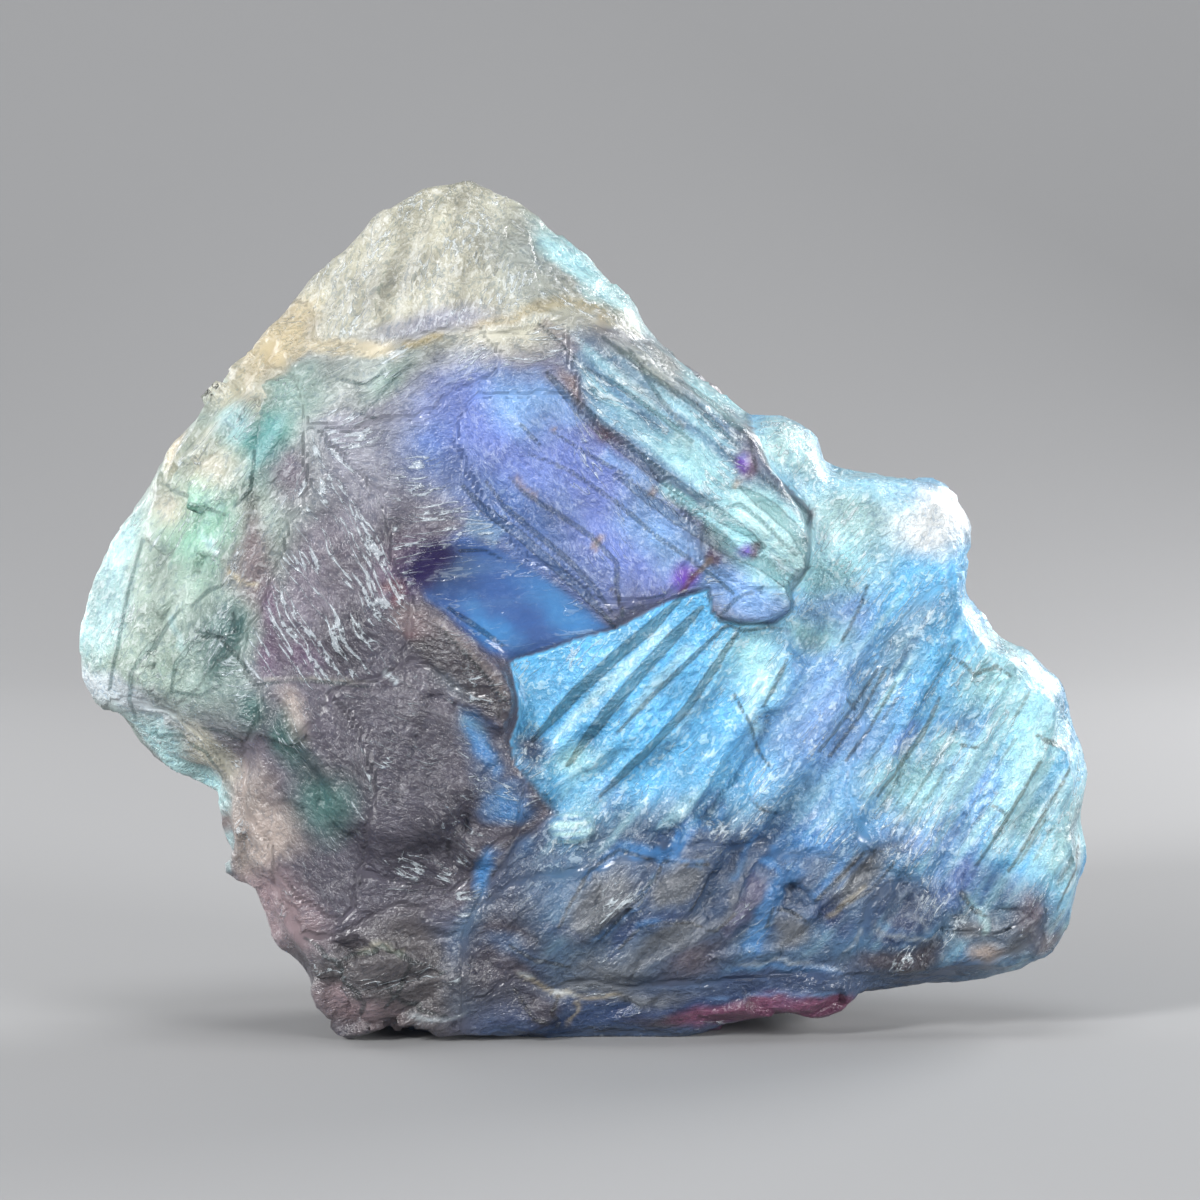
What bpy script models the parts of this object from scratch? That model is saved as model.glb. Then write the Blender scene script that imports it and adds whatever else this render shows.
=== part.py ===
"""Fluorite cluster: a big cube-shaped crystal on a broken foot, with a thinner stepped crystal grown into its side.

It grew as one stone, so it is one object. +Z is up and the front faces -Y. The crystals are drawn in millimetres as
lofts, plates and cubes, joined, fused into one skin, roughened, thinned and cut flat where the stone rests. The
finished object is in metres, because a voxel skin this fine can't be made in them.
"""

import math
import random

import bmesh
import bpy
from mathutils import Matrix, Vector

# The overall height in metres. Everything below is drawn in millimetres.
HEIGHT = 0.0605

SKIN_VOXEL = 0.45
SKIN_TRIANGLES = 9600
LUMP_SIZE, LUMP_RELIEF = 8.0, 0.9
PIT_SIZE, PIT_RELIEF = 1.9, 0.3
PLATE_THICKNESS = 3.5

# A crystal is a stack of rings from front to back. Each ring is its depth, the share of the rim width it is drawn in
# by, the least rim width there, and how much deeper it gets per millimetre right of and above the crystal's middle.
# Each rim row is x, z and the width of the sloping rim in front of it, clockwise from the top.
HEAD_MIDDLE = (-11, 30)
HEAD_RINGS = [
    (-12.6, 1.0, 0.5, 0.0, 0.07), (-8.6, 0.45, 0.0, 0.0, 0.03), (-3.0, 0.0, 0.0, 0.0, 0.0),
    (2.0, 0.06, 0.0, 0.0, 0.0), (7.5, 0.5, 4.0, 0.0, -0.03), (11.5, 0.9, 8.0, 0.04, -0.08),
]
HEAD_RIM = [
    # the apex and the straight edge down to the right-hand tip
    (-8.0, 60.3, 10.5), (-4.5, 58.6, 8.5), (-2.0, 56.6, 6.5), (1.3, 53.9, 4.5), (3.8, 51.5, 3.0),
    (4.1, 50.1, 2.2), (7.3, 46.9, 2.4), (11.4, 43.4, 2.0), (13.0, 40.2, 1.2), (15.8, 37.4, 0.9), (15.6, 33.5, 0.8),
    # the stepped edge that overlaps the side crystal
    (13.8, 31.6, 0.5), (9.3, 29.9, 0.5), (8.3, 31.8, 0.5), (2.0, 29.2, 0.5), (-5.0, 27.0, 0.6),
    (-4.6, 24.0, 0.8), (-5.8, 20.5, 2.0), (-6.0, 15.0, 4.0), (-9.0, 9.0, 7.0),
    # the underside, inside the foot
    (-15.0, 6.0, 9.0), (-20.0, 10.0, 8.0), (-23.0, 16.5, 6.0),
    # the left wing and the long edge back up to the apex
    (-28.5, 19.6, 6.0), (-32.6, 22.6, 10.0), (-34.6, 22.8, 12.0), (-35.8, 25.0, 12.5), (-35.8, 27.6, 12.5),
    (-34.7, 32.1, 11.0), (-32.9, 35.5, 9.5), (-30.8, 38.4, 8.0), (-29.7, 40.9, 7.0), (-26.8, 44.0, 5.5),
    (-24.4, 46.8, 5.0), (-23.1, 48.4, 6.0), (-19.6, 52.6, 8.5), (-14.7, 57.6, 10.5), (-11.1, 59.6, 11.0),
]

SIDE_MIDDLE = (8, 20)
SIDE_RINGS = [
    (-11.6, 1.0, 0.4, 0.17, 0.0), (-9.8, 0.35, 0.0, 0.17, 0.0), (-6.0, 0.0, 0.0, 0.15, 0.0),
    (-3.4, 0.05, 0.0, 0.12, 0.0), (2.4, 0.6, 3.5, 0.03, 0.0), (6.4, 1.0, 8.0, -0.02, 0.06),
]
SIDE_RIM = [
    # the lobed upper edge
    (6.0, 44.0, 4.0), (11.6, 43.4, 2.5), (14.0, 43.5, 1.8), (16.2, 42.0, 1.6), (16.8, 39.9, 1.6),
    (20.3, 39.7, 1.8), (21.3, 39.2, 2.0), (24.6, 39.1, 2.0), (25.7, 38.0, 2.0), (27.0, 35.5, 2.0),
    (27.2, 33.0, 2.0), (26.9, 30.7, 2.2), (28.5, 29.6, 2.4), (29.1, 28.0, 2.6), (31.4, 27.1, 2.6),
    # the lobed right edge, down to the blunt lower corner
    (33.9, 24.5, 3.0), (34.5, 21.9, 3.0), (35.7, 19.1, 3.0), (36.0, 17.6, 3.0), (35.5, 14.2, 3.0),
    (36.0, 12.1, 3.2), (35.4, 10.2, 3.4), (35.0, 7.3, 4.0), (33.6, 4.8, 5.0), (30.8, 3.7, 6.0),
    # the long lower slope, and the hidden end inside the big crystal
    (27.0, 3.3, 7.0), (19.7, 2.7, 7.5), (10.0, 2.4, 7.5), (0.0, 2.2, 7.5), (-8.0, 3.0, 7.0),
    (-12.0, 18.0, 2.0), (-8.0, 34.0, 2.0),
]

FOOT_MIDDLE = (-12, 15)
FOOT_RINGS = [
    (-11.4, 1.0, 0.5, 0.05, -0.1), (-9.0, 0.5, 0.0, 0.0, -0.05), (-4.0, 0.0, 0.0, 0.0, 0.0),
    (4.5, 0.05, 0.0, 0.0, 0.0), (9.0, 0.6, 3.0, 0.0, 0.03), (12.0, 1.0, 6.0, -0.05, 0.08),
]
FOOT_RIM = [
    (-8.0, 28.0, 3.0), (-5.8, 20.0, 2.0), (-6.0, 12.0, 3.0), (-5.7, 5.0, 4.0), (-6.2, 0.3, 4.5),
    (-9.5, -0.2, 4.6), (-13.4, -0.5, 5.0), (-17.2, 0.6, 5.0), (-18.9, 2.2, 4.5), (-19.6, 4.4, 4.0),
    (-21.9, 6.5, 3.5), (-23.0, 10.1, 3.0), (-24.6, 12.2, 2.6), (-25.3, 14.8, 2.6), (-25.6, 16.5, 3.0),
    (-24.0, 26.0, 3.0), (-18.0, 33.0, 4.0),
]

SILL_MIDDLE = (3, 8)
SILL_RINGS = [
    (-9.4, 1.0, 1.5, 0.0, -0.15), (-6.4, 0.0, 0.0, 0.0, 0.0), (6.0, 0.1, 0.0, 0.0, 0.0), (9.5, 1.0, 4.0, 0.0, 0.2),
]
SILL_RIM = [
    (-9.0, 12.0, 1.0), (-8.0, 1.0, 2.0), (-6.0, 0.3, 2.2), (-2.4, -0.5, 2.6), (2.6, -0.2, 2.8), (7.4, -0.3, 2.6),
    (10.4, 0.9, 2.0), (14.6, 1.7, 1.8), (16.8, 1.1, 1.6), (18.3, 2.0, 1.2), (19.4, 3.4, 1.2), (16.0, 9.0, 2.0),
    (4.0, 15.0, 2.0),
]

FIN_MIDDLE = (-26, 19)
FIN_RINGS = [
    (-1.5, 1.0, 0.4, 0.0, 0.0), (-0.5, 0.0, 0.0, 0.0, 0.0), (1.3, 0.0, 0.0, 0.0, 0.0), (2.6, 1.0, 0.6, 0.0, 0.0),
]
FIN_RIM = [
    (-34.0, 23.5, 1.0), (-31.5, 20.2, 0.8), (-28.8, 17.9, 0.8), (-26.0, 16.4, 0.8), (-24.6, 14.6, 0.6),
    (-25.9, 13.4, 0.3), (-24.9, 12.2, 0.4), (-23.6, 10.2, 0.6), (-21.0, 12.0, 1.0), (-20.0, 22.0, 1.0),
    (-27.0, 27.0, 1.0),
]

# Thin plates of growth on a crystal's front face. Each corner is x, z and how far it stands out from the face.
HEAD_PLATES = [
    # the terraces that climb to the right-hand tip, lowest first
    [(-8.5, 39.1, -0.5), (-6.9, 37.2, 0.1), (-3.3, 35.0, 0.4), (-1.4, 33.4, 0.5), (2.2, 29.4, 0.6), (2.8, 32.0, 0.5),
     (1.0, 36.5, 0.2), (-4.0, 40.5, -0.5)],
    [(-6.3, 39.6, -0.5), (-2.8, 37.9, 0.3), (0.8, 35.8, 0.8), (2.5, 33.4, 1.0), (2.4, 30.4, 1.1), (8.2, 32.3, 1.0),
     (6.0, 36.5, 0.6), (0.0, 41.5, -0.4)],
    [(-1.0, 40.2, -0.4), (1.6, 38.4, 0.4), (5.8, 35.5, 1.1), (8.8, 33.4, 1.5), (10.5, 31.9, 1.5), (13.5, 31.4, 1.4),
     (9.0, 37.0, 0.8), (2.0, 41.6, -0.4)],
    [(-2.6, 43.4, -0.4), (2.0, 40.1, 0.6), (9.1, 34.9, 1.5), (12.6, 32.9, 1.9), (14.4, 32.0, 1.9), (13.6, 35.4, 1.3),
     (4.6, 42.0, 0.1), (0.0, 44.6, -0.5)],
    [(-2.7, 47.2, -0.5), (1.5, 42.8, 0.5), (4.8, 40.4, 1.2), (9.1, 37.7, 1.8), (12.0, 35.5, 2.2), (14.9, 32.8, 2.4),
     (15.6, 34.2, 2.0), (15.2, 37.2, 1.2), (12.8, 40.0, 0.8), (11.2, 42.6, 0.2), (6.0, 45.6, -0.2), (1.0, 47.6, -0.6)],
    [(10.0, 37.9, 1.6), (11.2, 36.6, 2.2), (14.6, 33.2, 2.9), (15.5, 33.4, 2.9), (15.7, 35.2, 2.5), (13.2, 37.4, 1.9)],
    # the chip at the tip, the torn flap below the dark window and the flake on the sloping top
    [(9.4, 29.9, 1.0), (10.6, 31.8, 1.6), (14.1, 32.3, 2.2), (14.5, 30.6, 2.2), (12.6, 29.5, 1.9), (10.8, 29.3, 1.4)],
    [(-13.3, 31.7, -0.2), (-11.2, 31.4, 0.8), (-7.6, 28.9, 1.5), (-5.1, 26.2, 1.7), (-4.5, 24.3, 1.7),
     (-5.5, 21.8, 1.2), (-7.2, 23.6, 0.9), (-9.7, 26.2, 0.5), (-12.6, 29.1, 0.0)],
    [(-3.2, 50.4, -0.4), (0.0, 46.4, 0.2), (3.4, 44.2, 0.4), (7.4, 42.6, 0.3), (9.8, 42.8, 0.0), (4.4, 48.2, -0.5)],
]
SIDE_PLATES = [
    # the bright strips beside the big crystal
    [(-5.6, 27.4, 0.2), (-3.8, 21.3, 0.3), (0.0, 25.0, 0.4), (3.6, 28.8, 0.5), (6.6, 31.6, 0.6), (2.0, 31.0, 0.4)],
    [(-2.2, 20.2, 0.2), (0.2, 22.4, 0.7), (1.8, 22.6, 0.8), (5.0, 26.4, 1.0), (8.6, 31.0, 1.1), (7.4, 31.6, 1.0),
     (1.0, 25.4, 0.8)],
    [(-1.4, 18.6, 0.1), (0.6, 19.4, 0.5), (4.4, 22.6, 0.8), (8.2, 27.2, 1.0), (10.2, 30.4, 1.0), (9.2, 30.6, 0.8),
     (4.8, 25.6, 0.6)],
    [(1.0, 17.6, -0.2), (4.2, 20.0, 0.3), (8.6, 24.4, 0.5), (11.4, 29.4, 0.6), (10.4, 30.0, 0.6), (6.0, 24.0, 0.2)],
    # the broad steps across the middle
    [(4.0, 14.6, -0.3), (8.0, 17.0, 0.4), (12.6, 24.0, 0.8), (14.4, 29.0, 0.9), (17.8, 33.6, 0.6), (15.0, 35.0, 0.0),
     (9.0, 27.0, -0.1)],
    [(12.4, 23.6, 0.9), (13.4, 23.4, 1.4), (15.4, 26.6, 1.5), (14.4, 27.6, 1.2)],
    [(9.4, 14.0, -0.2), (12.4, 15.2, 0.5), (17.6, 22.6, 1.0), (20.8, 30.6, 1.1), (21.4, 36.6, 0.5), (18.6, 36.0, 0.2),
     (15.0, 26.0, 0.0)],
    [(15.4, 13.6, -0.2), (18.4, 14.6, 0.4), (21.4, 19.4, 0.8), (23.6, 25.4, 0.9), (25.4, 30.6, 0.6), (24.4, 35.6, 0.1),
     (21.0, 27.0, 0.1)],
    # the ribs that run down to the lobed right edge
    [(22.0, 12.6, 0.0), (24.2, 13.6, 0.4), (26.6, 18.4, 0.7), (28.6, 23.6, 0.7), (30.6, 26.6, 0.2), (28.2, 27.4, 0.1),
     (24.8, 20.0, 0.1)],
    [(25.6, 9.6, 0.1), (28.0, 11.0, 0.4), (30.6, 17.0, 0.8), (33.0, 22.2, 0.7), (33.2, 24.2, 0.1), (31.0, 24.4, 0.1),
     (28.0, 17.4, 0.1)],
    [(29.2, 8.6, 0.0), (31.0, 8.8, 0.4), (33.0, 14.6, 0.7), (34.6, 18.0, 0.3), (33.6, 21.0, 0.0), (31.4, 15.6, 0.1)],
    [(32.0, 7.4, -0.4), (33.6, 8.4, -0.1), (34.6, 11.4, 0.0), (34.4, 15.0, -0.2), (33.2, 12.0, 0.0)],
    # the raised islands between the channels of the lower slope, and the splinter beside the foot
    [(-1.8, 8.6, 0.1), (-0.4, 11.4, 0.4), (2.4, 14.0, 0.2), (5.6, 13.2, 0.4), (3.4, 10.2, 0.6), (0.8, 7.0, -0.2)],
    [(3.8, 8.6, 0.3), (5.2, 11.2, 0.6), (6.8, 13.0, 0.4), (9.4, 13.4, 0.4), (8.4, 10.4, 0.6), (6.8, 8.6, 0.3)],
    [(6.4, 12.6, 0.4), (7.0, 15.8, 0.4), (9.6, 15.4, 0.4), (9.0, 12.4, 0.4)],
    [(1.2, 5.0, -1.3), (4.0, 8.0, 0.0), (9.0, 8.6, 0.3), (11.2, 9.6, 0.6), (8.4, 6.0, -0.8), (5.0, 4.6, -1.6)],
    [(11.0, 10.4, 0.5), (12.6, 13.2, 0.5), (15.6, 14.8, 0.3), (14.0, 11.0, 0.6), (12.4, 9.2, 0.4)],
    [(14.8, 11.6, 0.6), (17.6, 15.4, 0.3), (20.2, 14.4, 0.4), (17.8, 11.0, 0.7), (16.0, 9.6, 0.5)],
    [(13.4, 6.2, -0.7), (16.0, 9.0, 0.3), (19.2, 11.4, 0.5), (22.2, 13.0, 0.4), (21.0, 9.6, 0.5), (17.6, 6.4, -0.6)],
    [(19.6, 5.2, -1.2), (22.4, 8.4, 0.2), (25.4, 10.2, 0.5), (25.0, 7.0, -0.4), (22.8, 4.8, -1.4)],
    [(26.0, 4.8, -1.3), (27.2, 7.2, -0.3), (30.0, 8.0, 0.0), (32.0, 7.4, -0.3), (32.4, 5.8, -1.0), (30.0, 4.6, -1.5)],
    [(-7.0, 21.8, 1.2), (-3.8, 20.6, 0.8), (-2.2, 19.6, 0.7), (-1.8, 17.8, 0.6), (-4.0, 16.6, 0.6), (-5.4, 13.0, 0.8),
     (-8.0, 13.0, 0.8)],
]

# The glassy bead trapped beside the foot: centre and half sizes.
BEAD_CENTRE, BEAD_REACH = Vector((-0.9, -14.0, 15.5)), Vector((1.5, 1.1, 1.1))

# Loose corners of smaller crystals: centre, edge lengths and turns about X, Y and Z in degrees.
CORNER_CUBES = [
    ((-11.8, -6.6, 5.4), (8.4, 8.0, 5.6), (30, 22, 14)), ((-15.4, -6.0, 3.8), (5.4, 6.0, 4.6), (18, -32, -18)),
    ((-7.8, -6.2, 4.0), (6.6, 7.4, 4.6), (26, 12, 16)), ((-17.4, -7.0, 9.4), (6.4, 6.0, 6.6), (10, 52, 6)),
    ((-20.6, -5.2, 14.0), (5.0, 6.0, 8.0), (-6, 28, -24)), ((-4.2, -6.8, 3.4), (5.0, 5.4, 3.6), (14, 40, 10)),
]

# Small cubes crowded over the back: how many, their edge lengths, and each crystal's share of them.
BACK_SEED = 11
BACK_CUBES = 22
BACK_EDGE = (5.0, 12.0)
BACK_TURN = 45.0

STONE_COLOUR = (0.42, 0.56, 0.78, 1.0)
STONE_ROUGHNESS = 0.3


def hidden_collection(name):
    """A collection for construction shapes, which are left out of the finished object."""
    made = bpy.data.collections.new(name)
    bpy.context.scene.collection.children.link(made)
    made.hide_render = True
    return made


def shape_from(bm, name, collection):
    """Turns a bmesh into a construction object."""
    bmesh.ops.recalc_face_normals(bm, faces=bm.faces)
    mesh = bpy.data.meshes.new(name)
    bm.to_mesh(mesh)
    bm.free()
    made = bpy.data.objects.new(name, mesh)
    collection.objects.link(made)
    made.hide_render = True
    made.display_type = "WIRE"
    return made


def body_through(name, rings, collection):
    """A closed body whose skin passes through a row of rings of points."""
    bm = bmesh.new()
    drawn = [[bm.verts.new(point) for point in ring] for ring in rings]
    for near, far in zip(drawn, drawn[1:]):
        for i, vertex in enumerate(near):
            before = i - 1
            bm.faces.new((near[before], vertex, far[i], far[before]))
    bm.faces.new(drawn[0])
    bm.faces.new(drawn[-1])
    bmesh.ops.triangulate(bm, faces=bm.faces, quad_method="SHORT_EDGE", ngon_method="EAR_CLIP")
    return shape_from(bm, name, collection)


def depth_at(ring, middle, x, z):
    """How deep a crystal's ring lies at x, z."""
    depth, share, least, across, up = ring
    return depth + across * max(x - middle[0], 0) + up * (z - middle[1])


def crystal(name, rim, middle, rings, collection):
    """A crystal body: the rim outline at each ring's depth, drawn in towards the middle."""
    outlines = []
    for ring in rings:
        depth, share, least, across, up = ring
        outline = []
        for x, z, width in rim:
            to_middle = Vector((middle[0] - x, middle[1] - z))
            drawn_in = min(share * max(width, least), to_middle.length * 0.8)
            inward = to_middle.normalized() * drawn_in
            x, z = x + inward.x, z + inward.y
            outline.append(Vector((x, depth_at(ring, middle, x, z), z)))
        outlines.append(outline)
    return body_through(name, outlines, collection)


def plate(name, corners, middle, face, collection):
    """A thin slab on a crystal's front face, each corner standing out by its own amount."""
    front = [Vector((x, depth_at(face, middle, x, z) - rise, z)) for x, z, rise in corners]
    back = [point + Vector((0, PLATE_THICKNESS, 0)) for point in front]
    return body_through(name, [front, back], collection)


def cube(name, centre, size, turns, collection):
    """A cube-shaped crystal, or part of one, by its centre, edge lengths and turns in degrees."""
    bm = bmesh.new()
    bmesh.ops.create_cube(bm, size=1.0)
    bmesh.ops.scale(bm, vec=Vector(size), verts=bm.verts)
    made = shape_from(bm, name, collection)
    made.rotation_euler = [math.radians(turn) for turn in turns]
    made.location = Vector(centre)
    return made


def bead(collection):
    bm = bmesh.new()
    bmesh.ops.create_icosphere(bm, subdivisions=3, radius=1.0)
    bmesh.ops.scale(bm, vec=BEAD_REACH, verts=bm.verts)
    bmesh.ops.translate(bm, vec=BEAD_CENTRE, verts=bm.verts)
    return shape_from(bm, "bead", collection)


def back_cubes(name, rim, middle, rings, collection):
    """Small cubes at random places on a crystal's back, nearly in line with each other."""
    rng = random.Random(BACK_SEED)
    for i in range(BACK_CUBES):
        x, z, width = rng.choice(rim)
        out = 0.15 + 0.6 * math.sqrt(rng.random())
        edge = rng.uniform(*BACK_EDGE) * (1.15 - out * 0.6)
        x = middle[0] + (x - middle[0]) * out
        z = middle[1] + (z - middle[1]) * out
        surface = depth_at(rings[-1], middle, x, z) * (1.0 - 0.45 * out * out)
        centre = (x, surface - edge * rng.uniform(0.2, 0.42), z)
        turns = (rng.uniform(-9, 9), BACK_TURN + rng.uniform(-7, 7), rng.uniform(-9, 9))
        cube(f"{name}_{i}", centre, (edge, edge, edge * rng.uniform(0.7, 1.2)), turns, collection)


def clouds(name, size):
    texture = bpy.data.textures.new(name, "CLOUDS")
    texture.noise_scale = size
    texture.noise_depth = 1
    return texture


def roughen(stone, name, size, relief):
    """Raises and lowers the skin by a soft random relief."""
    modifier = stone.modifiers.new(name, "DISPLACE")
    modifier.texture = clouds(name, size)
    modifier.strength = relief
    modifier.mid_level = 0.5


def stone_material():
    material = bpy.data.materials.new("fluorite")
    material.use_nodes = True
    shader = material.node_tree.nodes["Principled BSDF"]
    shader.inputs["Base Color"].default_value = STONE_COLOUR
    shader.inputs["Roughness"].default_value = STONE_ROUGHNESS
    shader.inputs["Metallic"].default_value = 0.0
    return material


def joined(name, shapes, collection):
    """One mesh object holding every shape, in place."""
    bm = bmesh.new()
    for shape in shapes:
        part = bpy.data.meshes.new_from_object(shape)
        part.transform(shape.matrix_world)
        bm.from_mesh(part)
        bpy.data.meshes.remove(part)
    mesh = bpy.data.meshes.new(name)
    bm.to_mesh(mesh)
    bm.free()
    made = bpy.data.objects.new(name, mesh)
    collection.objects.link(made)
    return made


def fuse(stone):
    """Fuses the crystals into one skin, roughens it and thins it to its triangle budget."""
    skin = stone.modifiers.new("fuse", "REMESH")
    skin.mode = "VOXEL"
    skin.voxel_size = SKIN_VOXEL
    roughen(stone, "lumps", LUMP_SIZE, LUMP_RELIEF)
    roughen(stone, "pits", PIT_SIZE, PIT_RELIEF)
    bpy.context.view_layer.update()
    evaluated = stone.evaluated_get(bpy.context.evaluated_depsgraph_get())
    triangles = sum(len(face.vertices) - 2 for face in evaluated.data.polygons)
    thin = stone.modifiers.new("thin", "DECIMATE")
    thin.ratio = SKIN_TRIANGLES / triangles


def cut_flat(stone, collection):
    """Cuts the underside level, where the stone broke off and now rests."""
    bm = bmesh.new()
    bmesh.ops.create_cube(bm, size=200.0)
    bmesh.ops.translate(bm, vec=Vector((0, 0, -100.0)), verts=bm.verts)
    floor = shape_from(bm, "floor_cut", collection)
    cut = stone.modifiers.new("flat", "BOOLEAN")
    cut.operation = "DIFFERENCE"
    cut.object = floor


def fill_pockets(bm):
    """Fills the pockets sealed inside the stone by removing every skin but the outer one, which is the largest."""
    left = set(bm.verts)
    skins = []
    while left:
        skin, edge = set(), {left.pop()}
        while edge:
            skin |= edge
            edge = {line.other_vert(vertex) for vertex in edge for line in vertex.link_edges} - skin
        left -= skin
        skins.append(skin)
    skins.sort(key=len)
    for skin in skins[:-1]:
        bmesh.ops.delete(bm, geom=list(skin), context="VERTS")


def finish(stone):
    """Replaces the drawing by its finished mesh in metres, with the middle of its base at the origin."""
    bpy.context.view_layer.update()
    graph = bpy.context.evaluated_depsgraph_get()
    mesh = bpy.data.meshes.new_from_object(stone.evaluated_get(graph), depsgraph=graph)
    stone.modifiers.clear()
    stone.data = mesh
    bm = bmesh.new()
    bm.from_mesh(mesh)
    fill_pockets(bm)
    low = Vector(min(vertex.co[axis] for vertex in bm.verts) for axis in range(3))
    high = Vector(max(vertex.co[axis] for vertex in bm.verts) for axis in range(3))
    base = Vector(((low.x + high.x) / 2, (low.y + high.y) / 2, low.z))
    bmesh.ops.translate(bm, vec=-base, verts=bm.verts)
    bmesh.ops.scale(bm, vec=Vector((1, 1, 1)) * HEIGHT / (high.z - low.z), verts=bm.verts)
    bm.to_mesh(mesh)
    bm.free()
    mesh.materials.append(stone_material())


def main():
    for thing in list(bpy.data.objects):
        bpy.data.objects.remove(thing)
    growth = hidden_collection("growth")
    cutters = hidden_collection("cutters")
    finished = bpy.data.collections.new("fluorite_specimen")
    bpy.context.scene.collection.children.link(finished)

    crystal("head", HEAD_RIM, HEAD_MIDDLE, HEAD_RINGS, growth)
    crystal("side", SIDE_RIM, SIDE_MIDDLE, SIDE_RINGS, growth)
    crystal("foot", FOOT_RIM, FOOT_MIDDLE, FOOT_RINGS, growth)
    crystal("sill", SILL_RIM, SILL_MIDDLE, SILL_RINGS, growth)
    crystal("fin", FIN_RIM, FIN_MIDDLE, FIN_RINGS, growth)
    for i, corners in enumerate(HEAD_PLATES):
        plate(f"head_plate_{i}", corners, HEAD_MIDDLE, HEAD_RINGS[0], growth)
    for i, corners in enumerate(SIDE_PLATES):
        plate(f"side_plate_{i}", corners, SIDE_MIDDLE, SIDE_RINGS[0], growth)
    bead(growth)
    for i, (centre, size, turns) in enumerate(CORNER_CUBES):
        cube(f"corner_cube_{i}", centre, size, turns, growth)
    back_cubes("head_back_cube", HEAD_RIM, HEAD_MIDDLE, HEAD_RINGS, growth)
    back_cubes("side_back_cube", SIDE_RIM, SIDE_MIDDLE, SIDE_RINGS, growth)

    bpy.context.view_layer.update()
    stone = joined("fluorite_cluster", growth.objects, finished)
    fuse(stone)
    cut_flat(stone, cutters)
    finish(stone)


main()
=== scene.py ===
"""Looks of the fluorite cluster: a fine etched skin over the solid, its colour zones and growth lines, and a studio.

Places on the stone are drawn in millimetres, x to the right and z up, as the front is seen, with the origin in the
middle of the resting face.
"""

import math

import bmesh
import bpy
import numpy as np
from mathutils import Matrix, Vector
from mathutils import noise as perlin


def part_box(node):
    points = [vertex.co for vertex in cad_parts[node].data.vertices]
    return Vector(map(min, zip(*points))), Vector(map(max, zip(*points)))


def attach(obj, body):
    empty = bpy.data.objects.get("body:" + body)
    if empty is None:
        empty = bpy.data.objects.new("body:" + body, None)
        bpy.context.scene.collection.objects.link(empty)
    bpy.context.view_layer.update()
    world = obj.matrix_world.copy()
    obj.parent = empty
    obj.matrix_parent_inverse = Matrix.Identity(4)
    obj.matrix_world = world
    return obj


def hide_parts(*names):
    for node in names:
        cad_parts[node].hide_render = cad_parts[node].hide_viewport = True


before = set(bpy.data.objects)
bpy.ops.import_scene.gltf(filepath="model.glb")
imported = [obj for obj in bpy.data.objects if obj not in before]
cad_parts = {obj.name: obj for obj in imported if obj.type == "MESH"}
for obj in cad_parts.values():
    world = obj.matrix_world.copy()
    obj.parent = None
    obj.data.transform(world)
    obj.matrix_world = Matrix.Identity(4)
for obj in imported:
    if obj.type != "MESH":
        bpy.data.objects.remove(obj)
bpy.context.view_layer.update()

bl_info = {
    "name": "Fluorite Specimen Looks",
    "version": (1, 0, 0),
    "blender": (4, 5, 0),
    "location": "View3D > Sidebar > Fluorite",
    "description": "Etched skin, colour zones and studio for a fluorite cluster",
    "category": "Object",
}

STONE_NODE = "fluorite_cluster"
MM = 0.001
FLUORITE_IOR = 1.434
STREAK_SIZE = (8.0, 1.5, 0.95)
SWAY = 0.9
PLATE_REACH = 1.4
THINNEST_WALL = 0.09
GRAIN_SIZE = (0.62, 0.50, 0.40)
# How far the painted glint specks are lightened.
GLINT_LIFT = 0.55
FACET_STRETCH = (1.7, 1.0, 1.0)
FAR_OUTSIDE = -9.0
FRONT_DEPTH = (0.5, 3.0)
SHARP_ABOVE = 20.0
BAND_SIZES = ((14.0, 1.3), (9.0, 0.6))
# Strengths of the painted shade and painted highlight stripes of the growth bands.
BAND_SHADE = 0.6
BAND_HIGHLIGHT = 1.5
BACK_DEPTH = (-9.0, 9.0)
SIDE_FACETS = 0.4
MOTTLE_SIZE = 3.0
MOTTLE_CONTRAST = 0.35
RELIEF_CALM = 1.6
SKIN_CALM = 0.32

# Outlines on the front, in mm: where the side crystal shows, the clear window and the torn flap.
SIDE_OUTLINE = [
    (-5.2, 27.2), (-3.0, 27.8), (-0.6, 28.7), (2.0, 29.4), (5.8, 31.4), (8.5, 32.2), (8.8, 30.5), (9.2, 30.1),
    (10.6, 29.8), (13.0, 29.6), (14.3, 30.6), (14.2, 31.9), (15.4, 33.4), (15.9, 37.4), (12.9, 40.2), (11.4, 43.6),
    (12.0, 60.0), (60.0, 60.0), (60.0, -9.0), (-8.0, -9.0), (-8.6, 4.0), (-8.4, 8.0), (-7.0, 11.0), (-5.6, 13.0),
    (-4.4, 14.6), (-2.0, 16.4), (-3.4, 18.4), (-4.8, 20.0), (-5.2, 21.6), (-4.6, 23.2), (-4.6, 24.6),
]
WINDOW_OUTLINE = [
    (-12.2, 33.5), (-10.6, 35.0), (-8.0, 35.6), (-6.0, 35.2), (-4.4, 34.2), (-2.4, 32.9), (0.2, 31.0), (1.9, 29.5),
    (-0.6, 28.7), (-3.0, 27.8), (-5.2, 27.2), (-6.6, 27.8), (-8.2, 29.2), (-9.6, 30.5), (-11.0, 31.4),
]
FLAP_OUTLINE = [
    (-13.0, 31.6), (-11.2, 31.0), (-9.0, 29.4), (-7.0, 27.6), (-5.2, 26.0), (-4.7, 24.4), (-5.4, 23.0), (-6.6, 23.4),
    (-8.2, 24.6), (-10.0, 26.0), (-12.0, 27.8), (-13.4, 30.0),
]
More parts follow.
